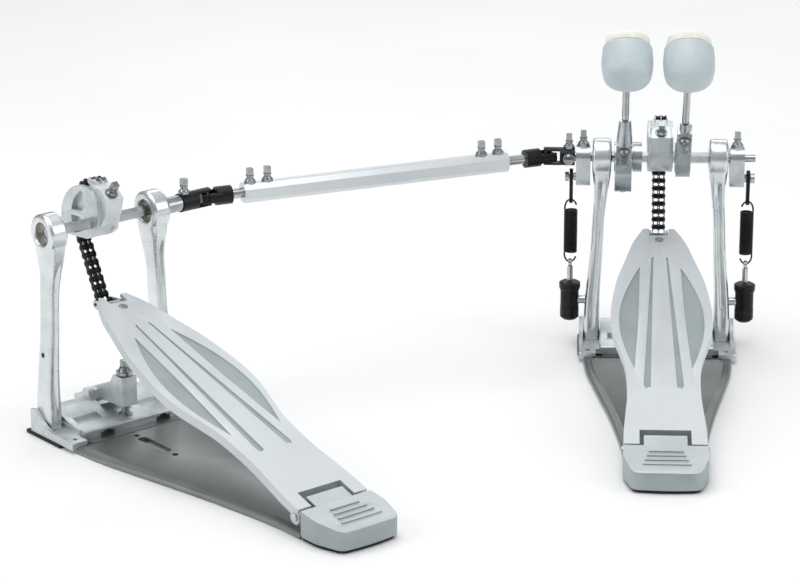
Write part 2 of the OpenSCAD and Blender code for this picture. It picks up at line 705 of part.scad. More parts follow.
module slave_shaft() {
    at_axle() {
        rod_x(-hub_span/2 - bearing_w/2 + 1, -hub_span/2 + hub_w/2 + 0.4, journal_r);
        rod_x(-hub_span/2 + hub_w/2 + 0.4, hub_span/2 - hub_w/2 - 0.4, hex_r, 6);
        rod_x(hub_span/2 - hub_w/2 - 0.4, slave_joint_x - 14, journal_r);
        difference() {
            rod_x(hub_span/2 + hub_w/2 + 1, slave_joint_x - yoke_out - gap, 8);
            rod_x(0, 200, journal_r + running);
        }
    }
}

block = [[-14, 35], [-25, 27], [-20.5, 10.5], [-3, -13], [6, -16.5]];
flange_back = [[9, 34], [-4, 31.5], [-12, 24], [-14.5, 8], [-9, -8], [-1, -14], [6, -17]];
flange_c = [11, -5];
flange_r = 38.8;
wrap_end = -run_lean + wrap_links*link_turn;
module cam() {
    groove_end = wrap_end + 5;
    // the block starts under the ears, where the groove ends
    block_start = wrap_end + 8.5;
    at_axle() difference() {
        union() {
            slab(0, cam_block_w) polygon(concat(
                arc(groove_r, -31, groove_end, 30),
                [(groove_r + 3.7)*[cos(block_start), sin(block_start)]],
                block));
            for (side = [-1, 1]) slab(side*(cam_w/2 - flange_t/2), flange_t)
                polygon(concat(arc(flange_r, -24, 86, 28, flange_c), flange_back));
            // ears and pin that hold the chain's last link
            rotate([wrap_end, 0, 0]) translate([0, chain_r, 0]) {
                rotate([96, 0, 0]) for (x = outer_plate_x) slab(x, plate_thin) link_outline(pitch, false);
                rod_x(-pin_half, pin_half, pin_r, 24);
            }
        }
        // hexagonal bore
        rod_x(-50, 50, hex_r + running, 6);
        // web pockets on both faces, split by ribs
        for (side = [-1, 1]) slab(side*(cam_w/2 - 1.5), 8) {
            polygon(concat(arc(groove_r - 2.5, 12, 64, 14), [[10.5, 26], [8.5, 14], [14, 8.5]]));
            polygon(concat(arc(groove_r - 2.5, -18, 2, 8), [[16, 2.5], [13.5, -7], [19, -12]]));
        }
        cam_bolt_place() cylinder(h = 20, r = 6.3);
        cam_bolt_place() key_hole(9);
    }
}
module cam_bolt_place() {
    translate([0, -18.6, 31.6]) rotate([36, 0, 0]) translate([0, 0, -1.2]) children();
}

// beaters, drawn with the rod along Z and the strike along Y

module on_beater() {
    at_axle() rotate([beater_lean, 0, 0]) children();
}
bolt_seat = rod_offset + 6.5;
// what is cut from both hubs: axle bore, rod bore, seat and hole of the key bolt
module hub_cuts(x, w, bolt_t) {
    rotate([-beater_lean, 0, 0]) rod_x(x - w, x + w, hex_r + running, 6);
    translate([x, -rod_offset, -60]) cylinder(h = 160, r = rod_r + running);
    hub_bolt_place(x, bolt_t) {
        cylinder(h = 20, r = 6.2);
        key_hole(2.4);
    }
}
module hub_bolt_place(x, bolt_t) {
    translate([x, -bolt_seat, bolt_t]) rotate([90, 0, 0]) union() children();
}
main_hub_w = 15.4;
main_bolt_t = 49;
module main_beater_hub() {
    x = main_beater_x;
    on_beater() difference() {
        union() {
            translate([x, 0, 0]) rod_x(-main_hub_w/2, main_hub_w/2, 14.6);
            slab(x, 14.2) polygon([
                [-rod_offset - 7.6, 56.5], [-rod_offset - 6, 58], [-rod_offset + 6, 58], [-rod_offset + 7.6, 56.5],
                [-rod_offset + 8.4, 34], [2, 20], [12, 9], [13, -5], [0, -14], [-rod_offset, -12],
                [-rod_offset - 6.5, -8], [-rod_offset - 8.2, 0]]);
            translate([x, -rod_offset, 57]) cylinder(h = 13, r1 = 5.8, r2 = 5.2);
        }
        hub_cuts(x, main_hub_w, main_bolt_t);
        // slot across the barrel that the side screw closes
        slab(x, 1.2) polygon([[0, 0], [0, -30], [30, -30], [30, 0]]);
    }
    on_beater() translate([x - main_hub_w/2, 9, -5]) rod_x(-1.6, 0.5, 3.2, 6);
}
second_hub_w = 18.6;
second_bolt_t = 31;
module second_beater_hub() {
    x = second_beater_x;
    on_beater() difference() {
        union() {
            translate([x, 0, 0]) rod_x(-second_hub_w/2, second_hub_w/2, 13.6);
            translate([x, 0, 0]) rod_x(-second_hub_w/2, -second_hub_w/2 + 2.8, 15);
            slab(x, 15.2) polygon([
                [-rod_offset - 7.6, 37.5], [-rod_offset - 6, 39], [-rod_offset + 6, 39], [-rod_offset + 7.6, 37.5],
                [-rod_offset + 8.4, 26], [2, 17], [11, 8], [12, -4], [0, -13], [-rod_offset, -12],
                [-rod_offset - 6.5, -8], [-rod_offset - 8.2, 0]]);
            translate([x, -rod_offset, 38]) cylinder(h = 36, r1 = 8.2, r2 = 5.8);
            // tail that hangs straight down at rest
            rotate([-beater_lean, 0, 0]) slab(x, 16.8) polygon([
                [-12, -2], [9, -6], [6, -16], [3, -31], [1, -34], [-8, -34], [-10, -31], [-14, -14]]);
        }
        hub_cuts(x, second_hub_w, second_bolt_t);
        // recess of the screw that comes up into the tail, and the split above it
        rotate([-beater_lean, 0, 0]) translate([x, -3.5, -40]) cylinder(h = 9.5, r = 3.8);
        rotate([-beater_lean, 0, 0]) translate([x - 20, -30, -21.6]) cube([40, 17.4, 0.8]);
    }
    on_beater() rotate([-beater_lean, 0, 0]) translate([x, -3.5, -35.6]) cylinder(h = 6, r = 2.6);
}
module beater_rod(x) {
    on_beater() translate([x, -rod_offset, -8]) cylinder(h = beater_l + 8 + 9, r = rod_r);
}
shell_back = 27;
shell_front = shell_l - shell_back;
// a head's own place: its axis along Z, with the striking face up and the rod's axis through its origin
module on_head(x) {
    on_beater() translate([x, -rod_offset, beater_l]) rotate([head_tilt - 90, 0, 0]) children();
}
module beater_head(x) {
    difference() {
        on_head(x) rotate_extrude($fn = 72) polygon(concat(
            [[0, -shell_back], [9, -shell_back + 0.6], [16.5, -shell_back + 2.6], [20.8, -shell_back + 6.1],
                [head_r - 2.7, -shell_back + 9.1], [head_r - 1.6, -shell_back + 12.6],
                [head_r - 0.6, -shell_back + 18], [head_r, -shell_back + 25],
                [head_r - 0.2, -shell_back + 31], [head_r - 0.9, shell_front - 6]],
            arc(4, 4, 84, 5, [head_r - 5.2, shell_front - 4.2]),
            [[0, shell_front]]));
        on_beater() translate([x, -rod_offset, beater_l - 60]) cylinder(h = 70, r = rod_r + running);
    }
}
felt_r = head_r - 3.6;
module beater_felt(x) {
    on_head(x) translate([0, 0, shell_front]) rotate_extrude($fn = 72) polygon(concat(
        [[0, 0], [felt_r - 0.3, 0], [felt_r, 0.8]],
        arc(3, 0, 80, 5, [felt_r - 3, felt_t - 3.3]), [[felt_r*0.5, felt_t - 0.1], [0, felt_t]]));
}

// spring gear on the right; the left side is its mirror image

rocker_seat = 12.4;
module rocker() {
    at_axle() difference() {
        union() {
            slab(rocker_x0 + rocker_w/2, rocker_w) {
                circle(r = 11.6);
                polygon([
                    [-11.6, 0], [11.6, 0], [10.6, -rocker_arm], [9, -rocker_arm - 6], [6.5, -rocker_arm - 7.5],
                    [-6.5, -rocker_arm - 7.5], [-9, -rocker_arm - 6], [-10.6, -rocker_arm]]);
            }
            translate([rocker_x0 + rocker_w/2, 0, 8]) cylinder(h = rocker_seat - 8, r = 6.6);
            translate([0, 0, -rocker_arm]) {
                rod_x(rocker_x0 + rocker_w - 1, spring_x - hook_t/2 - gap, 4.2);
                rod_x(rocker_x0 + rocker_w, spring_x + hook_t/2 + 2.6, hook_pin_r);
                rod_x(spring_x + hook_t/2 + 0.6, spring_x + hook_t/2 + 4.6, 5);
            }
        }
        rod_x(0, 200, journal_r + running);
        translate([rocker_x0 + rocker_w/2, 0, rocker_seat]) key_hole(7);
        // shallow face cut on the inner side
        slab(rocker_x0, 2.4) difference() {
            circle(r = 9.6);
            circle(r = 7);
        }
    }
}
slot_slack = 2.5;
pin_slack = 0.75;
module hook() {
    difference() {
        slab(spring_x, hook_t) {
            translate([0, pin_z + slot_slack]) circle(r = 5.6);
            translate([0, pin_z - slot_slack]) circle(r = 5.6);
            translate([0, hook_hole_z]) circle(r = 4.4);
            polygon([[-5.6, pin_z + 2], [-3.4, hook_hole_z], [3.4, hook_hole_z], [5.6, pin_z + 2]]);
        }
        translate([0, 0, pin_z + slot_slack]) rod_x(0, 200, hook_pin_r + pin_slack);
        translate([0, 0, pin_z - slot_slack]) rod_x(0, 200, hook_pin_r + pin_slack);
        translate([spring_x - hook_t, -hook_pin_r - pin_slack, pin_z - slot_slack])
            cube([2*hook_t, 2*hook_pin_r + 2*pin_slack, 2*slot_slack]);
        translate([0, 0, hook_hole_z]) rod_x(0, 200, hole_r);
    }
}

// one unbroken wire: lower loop, coils, upper loop
coil_r = spring_r - wire_r;
ring_step = 45;
coil_pts = [for (a = [0:ring_step:360*coil_turns])
    [coil_r*cos(a), coil_r*sin(a), coil_low + wire_r + (coil_l - 2*wire_r)*a/360/coil_turns]];
function loop_pts(z, dir) = [for (a = [14:14:154])
    [coil_r*cos(a), 0, z + dir*(loop_h + wire_r)*pow(sin(min(a*1.02, 170)), 0.8)]];
low_loop = loop_pts(coil_low + wire_r, -1);
wire_path = concat(
    [for (i = [len(low_loop)-1:-1:0]) low_loop[i]], coil_pts, loop_pts(coil_top - wire_r, 1));
wire_gap = min([for (i = [0:len(coil_pts)-1], k = [5:11]) if (i + k < len(coil_pts))
    norm(coil_pts[i+k] - coil_pts[i])]) - 2*wire_r;
echo(spring_wire_gap = wire_gap);
wire_sides = 6;
function unit(v) = v/norm(v);
function ring_at(i) = let (
    n = len(wire_path),
    t = unit(wire_path[min(i+1, n-1)] - wire_path[max(i-1, 0)]),
    up = abs(t[2]) > 0.8 ? [0, 1, 0] : [0, 0, 1],
    side = unit(cross(t, up)),
    top = cross(side, t))
    [for (k = [0:wire_sides-1]) let (a = k*360/wire_sides)
        wire_path[i] + wire_r*(side*cos(a) + top*sin(a))];

module spring_solid() {
    n = len(wire_path);
    pts = [for (i = [0:n-1]) each ring_at(i)];
    faces = concat(
        [[for (k = [0:wire_sides-1]) k]],
        [for (i = [0:n-2], k = [0:wire_sides-1]) let (a = i*wire_sides + k, b = i*wire_sides + (k+1)%wire_sides)
            each [[a, a + wire_sides, b], [b, a + wire_sides, b + wire_sides]]],
        [[for (k = [wire_sides-1:-1:0]) (n-1)*wire_sides + k]]);
    translate([spring_x, 0, 0]) polyhedron(points = pts, faces = faces, convexity = 10);
}

module adjuster() {
    // swivel block on the stud
    difference() {
        translate([spring_x, 0, stud_h - 7]) cylinder(h = 17, r = 9.4);
        translate([0, 0, stud_h]) rod_x(0, stud_out + 0.5, stud_r + running);
        translate([spring_x, 0, 0]) cylinder(h = 100, r = 3 + running);
    }
    // upper and lower nuts
    difference() {
        union() {
            translate([spring_x, 0, stud_h + 10.2]) cylinder(h = 3, r1 = 9.6, r2 = 10.8);
            translate([spring_x, 0, stud_h + 13.2]) cylinder(h = 5, r = 10.8);
            translate([spring_x, 0, stud_h + 18.2]) cylinder(h = 1.6, r1 = 10.8, r2 = 8);
        }
        translate([spring_x, 0, 0]) cylinder(h = 100, r = 3 + running);
    }
    difference() {
        union() {
            translate([spring_x, 0, stud_h - 18]) cylinder(h = 10.8, r = 9.6);
            translate([spring_x, 0, stud_h - 20.5]) cylinder(h = 2.5, r1 = 7, r2 = 9.6);
        }
        translate([spring_x, 0, 0]) cylinder(h = 100, r = 3 + running);
    }
    // threaded rod with its eye
    difference() {
        union() {
            translate([spring_x, 0, stud_h - 22]) cylinder(h = eye_hole_z - stud_h + 20, r = 3);
            slab(spring_x, hook_t) translate([0, eye_hole_z]) circle(r = 4.4);
        }
        translate([0, 0, eye_hole_z]) rod_x(0, 200, hole_r);
        for (side = [-1, 1]) translate([spring_x + side*(hook_t/2 + 5), 0, eye_hole_z]) cube([10, 10, 9], center = true);
    }
}

// universal joints, drawn along X with the joint's centre at the origin

yoke_out = 30;
arm_in = 6.2;
arm_half = 4.9;
arm_reach = 5.2;
cross_pin_r = 2.5;
open_slack = 0.6;
// fork whose pin lies along Z, reaching from x = -back to the joint
module fork(back, bore_r, slack) {
    difference() {
        intersection() {
            rod_x(-back, arm_reach, yoke_r);
            union() {
                translate([-back, -20, -20]) cube([back - 11, 40, 40]);
                for (side = [-1, 1]) translate([-11.5, -arm_half, side > 0 ? arm_in : -20])
                    cube([11.5 + arm_reach, 2*arm_half, 20 - arm_in]);
            }
        }
        translate([0, 0, -20]) cylinder(h = 40, r = cross_pin_r + slack);
        if (bore_r > 0) rod_x(-back - 1, -13, bore_r + running);
    }
}
module cross_piece() {
    cube(8, center = true);
    translate([0, 0, -yoke_r + 0.4]) cylinder(h = 2*yoke_r - 0.8, r = cross_pin_r);
    rotate([90, 0, 0]) translate([0, 0, -yoke_r + 0.4]) cylinder(h = 2*yoke_r - 0.8, r = cross_pin_r);
}
// flat seat and hole of a key bolt in a fork
module yoke_seat() {
    cylinder(h = 20, r = 6.2);
    key_hole(5);
}
module at_slave_joint() {
    translate([slave_joint[0], slave_joint[1], axle_h]) children();
}
module main_yoke() {
    difference() {
        translate([main_joint_x, 0, axle_h]) mirror([1, 0, 0]) fork(main_yoke_back, journal_r, running);
        main_yoke_bolt() yoke_seat();
        main_yoke_front_bolt() yoke_seat();
    }
}
main_yoke_back = -rocker_x0 - rocker_w - 1.2 - main_joint_x;
module main_yoke_bolt() {
    translate([main_joint_x + main_yoke_back - 6, 0, axle_h + yoke_r - 0.4]) children();
}
module main_yoke_front_bolt() {
    translate([main_joint_x + main_yoke_back - 6, -yoke_r + 0.4, axle_h]) rotate([90, 0, 0]) children();
}
module slave_yoke() {
    place_slave() difference() {
        translate([slave_joint_x, 0, axle_h]) fork(yoke_out, journal_r, running);
        slave_yoke_bolt() yoke_seat();
    }
}
module slave_yoke_bolt() {
    translate([slave_joint_x - yoke_out + 6, 0, axle_h + yoke_r - 0.4]) children();
}
// the cross stands on the pin of the axle's own fork; its other arm meets the tube's fork
module slave_cross() {
    at_slave_joint() rotate([0, 0, drive_turn]) cross_piece();
}
module main_cross() {
    translate([main_joint_x, 0, axle_h]) rotate([0, 0, drive_turn]) cross_piece();
}
rod_reach = 70;
module tube_yoke(tube_at) {
    rotate([90, 0, 0]) mirror([1, 0, 0]) fork(yoke_back, 0, open_slack);
    rod_x(yoke_back - 1, tube_at + rod_reach, drive_rod_r);
}
module tube_yokes() {
    at_slave_joint() rotate([0, 0, drive_turn]) {
        tube_yoke(tube_gap);
        translate([drive_l, 0, 0]) mirror([1, 0, 0]) tube_yoke(tube_gap_main);
    }
}
tube_l = drive_l - tube_gap - tube_gap_main;
tube_bolts = [8, 26, tube_l - 27, tube_l - 9];
module drive_tube() {
    h = tube_side/2;
    c = tube_side*0.24;
    at_slave_joint() rotate([0, 0, drive_turn]) difference() {
        slab(tube_gap + tube_l/2, tube_l) polygon([[h - c, -h], [h, -h + c], [h, h - c], [h - c, h],
            [-h + c, h], [-h, h - c], [-h, -h + c], [-h + c, -h]]);
        rod_x(0, drive_l, drive_rod_r + running);
        for (t = tube_bolts) translate([tube_gap + t, 0, tube_side/2]) key_hole(4.4);
    }
}
module drive_key_bolts() {
    at_slave_joint() rotate([0, 0, drive_turn]) for (t = tube_bolts)
        translate([tube_gap + t, 0, tube_side/2]) key_bolt(4.4);
}

// colours

cast = "silver";
bright = "gainsboro";
steel = "lightgray";
dark = "dimgray";
black = "#202224";
shell_grey = "lightslategray";

module main_key_bolts() {
    color(steel) {
        at_axle() cam_bolt_place() key_bolt(9);
        on_beater() hub_bolt_place(main_beater_x, main_bolt_t) key_bolt(2.4);
        at_axle() translate([rocker_x0 + rocker_w/2, 0, rocker_seat]) key_bolt(7);
    }
}
module second_key_bolts() {
    color(steel) {
        on_beater() hub_bolt_place(second_beater_x, second_bolt_t) key_bolt(2.4);
        at_axle() translate([-rocker_x0 - rocker_w/2, 0, rocker_seat]) key_bolt(7);
        main_yoke_bolt() key_bolt(3.7);
        main_yoke_front_bolt() key_bolt(3.7);
    }
}
module slave_key_bolts() {
    color(steel) place_slave() {
        at_axle() cam_bolt_place() key_bolt(9);
        slave_yoke_bolt() key_bolt(3.7);
    }
}

color(dark) base_plate();  // main_base_plate
color(dark) place_slave() base_plate();  // slave_base_plate
color(cast) frame();  // main_frame
color(cast) place_slave() frame();  // slave_frame
color(bright) both_sides() {  // main_posts
    post(stud_h, stud_r + running);
    stud();
}
color(bright) place_slave() both_sides() post(81, 2.4);  // slave_posts
color(cast) heel_block();  // main_heel_block
color(cast) place_slave() heel_block();  // slave_heel_block
color(black) { pads(); place_slave() pads(); }  // rubber_pads
color(steel) { hinge_pin(); place_slave() hinge_pin(); }  // hinge_pins
color(steel) {  // axle_bearings
    both_sides() bearing();
    place_slave() both_sides() bearing();
}
color(cast) clamp_jaw();  // main_clamp_jaw
color(steel) clamp_bolt();  // main_clamp_bolt
color(cast) place_slave() clamp_jaw();  // slave_clamp_jaw
color(steel) place_slave() clamp_bolt();  // slave_clamp_bolt
color(cast) footboard();  // main_footboard
color(cast) place_slave() footboard();  // slave_footboard
color(steel) toe_clip();  // main_toe_clip
color(steel) place_slave() toe_clip();  // slave_toe_clip
color(steel) main_shaft();
color(bright) cam();  // main_cam
color(black) chain_on_cam(free_links, wrap_links);  // main_chain_wrap
color(black) chain_on_cam(4, 6);  // main_chain_free_1
color(black) chain_on_cam(2, 4);  // main_chain_free_2
color(black) chain_on_cam(0, 2);  // main_chain_free_3
color(black) chain_run();  // main_chain_run
color(steel) place_slave() slave_shaft();
color(bright) place_slave() cam();  // slave_cam
color(black) place_slave() chain_on_cam(free_links, wrap_links);  // slave_chain_wrap
color(black) place_slave() chain_on_cam(4, 6);  // slave_chain_free_1
color(black) place_slave() chain_on_cam(2, 4);  // slave_chain_free_2
color(black) place_slave() chain_on_cam(0, 2);  // slave_chain_free_3
color(black) place_slave() chain_run();  // slave_chain_run
color(bright) main_beater_hub();
color(steel) beater_rod(main_beater_x);  // main_beater_rod
color(shell_grey) beater_head(main_beater_x);  // main_beater_head
color("ivory") beater_felt(main_beater_x);  // main_beater_felt
color(steel) second_shaft();
color(bright) second_beater_hub();
color(steel) beater_rod(second_beater_x);  // second_beater_rod
color(shell_grey) beater_head(second_beater_x);  // second_beater_head
color("ivory") beater_felt(second_beater_x);  // second_beater_felt
color(bright) rocker();  // right_rocker
color(bright) mirror([1, 0, 0]) rocker();  // left_rocker
color(black) hook();  // right_hook
color(black) mirror([1, 0, 0]) hook();  // left_hook
color(black) spring_solid();  // right_spring
color(black) mirror([1, 0, 0]) spring_solid();  // left_spring
color(black) adjuster();  // right_adjuster
color(black) mirror([1, 0, 0]) adjuster();  // left_adjuster
color(black) main_yoke();
color(steel) main_cross();
color(black) tube_yokes();
color(bright) drive_tube();
color(steel) drive_key_bolts();
color(steel) slave_cross();
color(black) slave_yoke();
main_key_bolts();
second_key_bolts();
slave_key_bolts();
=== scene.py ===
import json
import math

import bmesh
import bpy
from mathutils import Matrix, Vector


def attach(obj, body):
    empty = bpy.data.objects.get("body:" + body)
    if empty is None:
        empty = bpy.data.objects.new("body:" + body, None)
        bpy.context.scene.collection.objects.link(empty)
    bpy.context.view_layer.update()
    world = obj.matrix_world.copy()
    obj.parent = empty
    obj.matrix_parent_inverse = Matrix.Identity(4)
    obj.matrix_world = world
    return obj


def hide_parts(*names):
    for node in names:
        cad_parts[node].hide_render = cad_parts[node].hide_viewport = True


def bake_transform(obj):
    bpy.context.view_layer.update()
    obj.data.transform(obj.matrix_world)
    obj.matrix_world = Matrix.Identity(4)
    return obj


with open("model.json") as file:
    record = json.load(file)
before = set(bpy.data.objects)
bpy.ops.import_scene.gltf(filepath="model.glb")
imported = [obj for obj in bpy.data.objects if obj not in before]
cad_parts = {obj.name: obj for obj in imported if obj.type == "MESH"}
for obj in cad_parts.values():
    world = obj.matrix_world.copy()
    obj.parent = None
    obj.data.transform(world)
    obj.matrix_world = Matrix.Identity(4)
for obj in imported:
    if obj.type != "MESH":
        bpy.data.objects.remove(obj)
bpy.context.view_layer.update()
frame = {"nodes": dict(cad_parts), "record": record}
bodies = frame["record"]["behaviour"]["bodies"]
body_for = {node: body for body, nodes in bodies.items() for node in nodes}
MM = 0.001

# Sizes shared with the solids, in millimetres and degrees
AXLE_H = 200.0
HINGE_BACK, HINGE_H, BOARD_TILT = 348.0, 19.0, 16.6
BOARD_RISE, TREAD_CUT = 9.9, 1.4
SLAVE_AT, SLAVE_TURN = (-533.0, -238.0), 42.0
BEATER_X = {"main": 22.5, "second": -37.0}
BEATER_LEAN, BEATER_L, ROD_OFFSET = 34.5, 158.0, 12.0
HEAD_R, SHELL_L, SHELL_BACK, FELT_T, HEAD_TILT = 25.3, 44.5, 27.0, 9.0, 18.0
SPRING_X, SPRING_R, WIRE_R, COIL_LOW, COIL_L, COIL_TURNS = 89.0, 7.0, 0.9, 98.0, 47.0, 24
HUB_X = 58.5
STUD_X, STUD_H, STUD_R, STUD_L = 75.2, 48.0, 4.3, 18.3
SLAVE_JOINT_X, MAIN_JOINT_X, YOKE_BACK, DRIVE_ROD_R = 120.0, -112.0, 27.0, 5.0
# The drive tube's direction, seen from above
TUBE_TURN = 25.4

main_place = Matrix.Identity(4)
slave_place = (Matrix.Translation((SLAVE_AT[0] * MM, SLAVE_AT[1] * MM, 0))
               @ Matrix.Rotation(math.radians(SLAVE_TURN), 4, "Z"))


# Camera, at the place worked out from the photograph

# Degrees round the object, above the floor and about the line of sight
CAMERA_AROUND, CAMERA_ABOVE, CAMERA_ROLL = 2.94, 18.52, -0.15
# Metres
CAMERA_TARGET, CAMERA_AWAY = (-0.26269, 0.0, 0.05575), 3.2967
# The focal length in the photograph's pixels, its width in pixels and the sensor's in millimetres
FOCAL_PX, PHOTO_W, SENSOR_W = 3214.7, 800, 36


def make_camera():
    around, above, roll = (math.radians(a) for a in (CAMERA_AROUND, CAMERA_ABOVE, CAMERA_ROLL))
    level = math.cos(above)
    back = Vector((math.sin(around) * level, -math.cos(around) * level, math.sin(above)))
    flat_across = (-back).cross(Vector((0, 0, 1))).normalized()
    flat_up = flat_across.cross(-back)
    across = flat_across * math.cos(roll) + flat_up * math.sin(roll)
    up = flat_up * math.cos(roll) - flat_across * math.sin(roll)
    data = bpy.data.cameras.new("camera")
    data.sensor_width = SENSOR_W
    data.sensor_fit = "HORIZONTAL"
    data.lens = SENSOR_W * FOCAL_PX / PHOTO_W
    data.clip_start, data.clip_end = 0.05, 50
    camera = bpy.data.objects.new("camera", data)
    bpy.context.scene.collection.objects.link(camera)
    turn = Matrix((across, up, back)).transposed().to_4x4()
    camera.matrix_world = Matrix.Translation(Vector(CAMERA_TARGET) + back * CAMERA_AWAY) @ turn
    bpy.context.scene.camera = camera


make_camera()
bpy.context.scene.view_settings.view_transform = "Standard"


# Materials

def colour(text):
    """An sRGB hex colour as the linear values that Blender's sockets take."""
    parts = [int(text[i:i + 2], 16) / 255 for i in (1, 3, 5)]
    return [c / 12.92 if c <= 0.04045 else ((c + 0.055) / 1.055) ** 2.4 for c in parts] + [1.0]


def add(tree, kind, values=None, links=None, **settings):
    """Adds a node with its settings, its socket values and its incoming links."""
    node = tree.nodes.new(kind)
    for key, value in settings.items():
        setattr(node, key, value)
    for key, value in (values or {}).items():
        node.inputs[key].default_value = value
    for key, source in (links or {}).items():
        tree.links.new(source, node.inputs[key])
    return node


def new_material(name):
    """An empty material, with its tree, its output and the place on the object."""
    made = bpy.data.materials.new(name)
    made.use_nodes = True
    tree = made.node_tree
    tree.nodes.clear()
    out = add(tree, "ShaderNodeOutputMaterial")
    where = add(tree, "ShaderNodeTexCoord")
    return made, tree, out, where.outputs["Object"]


def two_colours(blend, low, high, at=(0.35, 0.65)):
    """Gives a blend its two hex colours and the places where they stand."""
    for stop, place, shade in zip(blend.color_ramp.elements, at, (low, high)):
        stop.position = place
        stop.color = colour(shade)


def surface(tree, out, values, tone, rough, relief):
    """Lays the finish: tone is (pattern, low, high), with the places of the colours if they aren't
    the usual ones, rough is (pattern, low, high) and relief is (pattern, strength, depth in mm)."""
    blend = add(tree, "ShaderNodeValToRGB", links={"Fac": tone[0]})
    two_colours(blend, *tone[1:])
    gloss = add(tree, "ShaderNodeMapRange", {"To Min": rough[1], "To Max": rough[2]}, {"Value": rough[0]})
    bump = add(tree, "ShaderNodeBump", {"Strength": relief[1], "Distance": relief[2] * MM},
               {"Height": relief[0]})
    shader = add(tree, "ShaderNodeBsdfPrincipled", values, {
        "Base Color": blend.outputs["Color"], "Roughness": gloss.outputs["Result"],
        "Normal": bump.outputs["Normal"]})
    tree.links.new(shader.outputs["BSDF"], out.inputs["Surface"])


def metal(name, low, high, rough, grain_mm, bump, finer=(1, 1, 1), turn=0.0, patch_mm=18, metallic=1.0):
    """A metal: colour drifts in patches, and a grain of the given size roughens it. Its finer
    value says how many times finer the grain is along X, Y and Z. Real grit and brush marks are
    smaller, and are drawn as coarse as they need to show."""
    made, tree, out, where = new_material(name)
    place = add(tree, "ShaderNodeMapping",
                {"Rotation": (0, 0, math.radians(turn)), "Scale": [1 / k for k in finer]},
                {"Vector": where}, vector_type="TEXTURE")
    grain = add(tree, "ShaderNodeTexNoise", {"Scale": 1 / (grain_mm * MM), "Detail": 3, "Roughness": 0.6},
                {"Vector": place.outputs["Vector"]})
    patch = add(tree, "ShaderNodeTexNoise", {"Scale": 1 / (patch_mm * MM), "Detail": 4, "Roughness": 0.55},
                {"Vector": where})
    both = add(tree, "ShaderNodeMath", links={0: grain.outputs["Fac"], 1: patch.outputs["Fac"]},
               operation="MULTIPLY")
    # The product of two noises stays near a quarter, so the range is drawn twice as wide
    surface(tree, out, {"Metallic": metallic}, (patch.outputs["Fac"], low, high),
            (both.outputs["Value"], rough[0], rough[1] * 2 - rough[0]), (grain.outputs["Fac"], 1.0, bump))
    return made


# Die cast aluminium, shot blasted and lacquered: satin, with a fine grain and soft patches
cast_aluminium = metal("cast aluminium, satin lacquer", "#aeb4b7", "#c6cbce", (0.22, 0.32), 0.7, 0.02)
# The base castings, left rougher from the die: pale, with an uneven sheen
rough_casting = metal("cast aluminium, as cast", "#c6ccce", "#dbe0e2", (0.36, 0.50), 0.9, 0.04,
                      patch_mm=14, metallic=0.8)
# Die cast aluminium, tumbled and polished: soft reflections, with waves left by the wheel
polished_aluminium = metal("cast aluminium, polished", "#d0d5d8", "#e4e7e9", (0.24, 0.33), 2.5, 0.02,
                           patch_mm=30)
# Steel plated with zinc and passivated bright, as on bolts and rods
zinc_steel = metal("steel, bright zinc", "#b2b6b8", "#cdd1d3", (0.16, 0.26), 0.9, 0.012)
# Drum key bolts: nickel plate, a little darker and duller than the zinc
bolt_steel = metal("steel, nickel plate, key bolts", "#8d9193", "#a9adaf", (0.20, 0.30), 0.9, 0.012)
# Ground steel axle: fine rings round the bar
ground_steel = metal("steel, ground axle", "#9da2a5", "#b9bec1", (0.20, 0.30), 0.5, 0.012,
                     finer=(3, 1, 1))
# Extruded aluminium, brushed along its length and clear anodised
tube_aluminium = metal("aluminium, brushed and anodised", "#cdd2d5", "#d8dcde", (0.30, 0.38), 0.6, 0.012,
                       finer=(0.03, 1, 1), turn=TUBE_TURN, patch_mm=90)
# Pressed steel under a grey nickel plate: a soft gloss with a faint orange peel
dark_nickel = metal("steel, grey nickel plate", "#858887", "#949796", (0.27, 0.35), 1.2, 0.012,
                    patch_mm=60, metallic=0.85)
# Blackened steel of the springs, straps, adjusters and forks: oily black with a soft gloss
black_oxide = metal("steel, black oxide", "#131516", "#212325", (0.30, 0.42), 0.8, 0.015, metallic=0.6)
# Chain plates: blued nearly black, with faint lighter patches
chain_plate = metal("steel, blackened chain plate", "#15181a", "#2c3032", (0.26, 0.40), 1.2, 0.012,
                    metallic=0.8)
# Chain rollers: plain hardened steel, polished by running
chain_roller = metal("steel, hardened roller", "#b8bcbe", "#dadddf", (0.14, 0.24), 0.9, 0.008)
# Bearing races in the post hubs: ground steel with a warm film of grease
bearing_steel = metal("bearing steel, greased", "#8f8d82", "#a8a599", (0.24, 0.34), 0.8, 0.01)


def silver_lacquer(name, turn):
    """Cast aluminium under a silver lacquer: its flakes give a very fine grain, drawn out along the board."""
    return metal(name, "#cacfd2", "#d2d7da", (0.40, 0.50), 0.45, 0.02,
                 finer=(1, 0.35, 1), turn=turn, patch_mm=80, metallic=0.45)


main_tread = silver_lacquer("cast aluminium, silver lacquer", 0)
slave_tread = silver_lacquer("cast aluminium, silver lacquer, turned", SLAVE_TURN)
# Bottoms of the lens panels and the long grooves: the same lacquer over a coarser blasted face, darker partly
# as that face's own tone and partly as painted shade in the recesses
panel_blast_and_shade = metal("cast aluminium, blasted panel and painted shade", "#9aa4a6", "#a5afb1", (0.50, 0.62), 0.6, 0.035,
                      patch_mm=50, metallic=0.4)
# Top of the heel in grey lacquer, and its sides in a darker copy of the same lacquer: painted shade, for less
# light falling on the sides
heel_lacquer = metal("cast aluminium, grey lacquer", "#bcc2c5", "#c6ccce", (0.40, 0.50), 0.5, 0.02,
                     patch_mm=50, metallic=0.45)
heel_side_shade = metal("cast aluminium, side in painted shade", "#9fa9ab", "#abb5b7", (0.42, 0.54), 0.6, 0.03,
                  patch_mm=40, metallic=0.45)


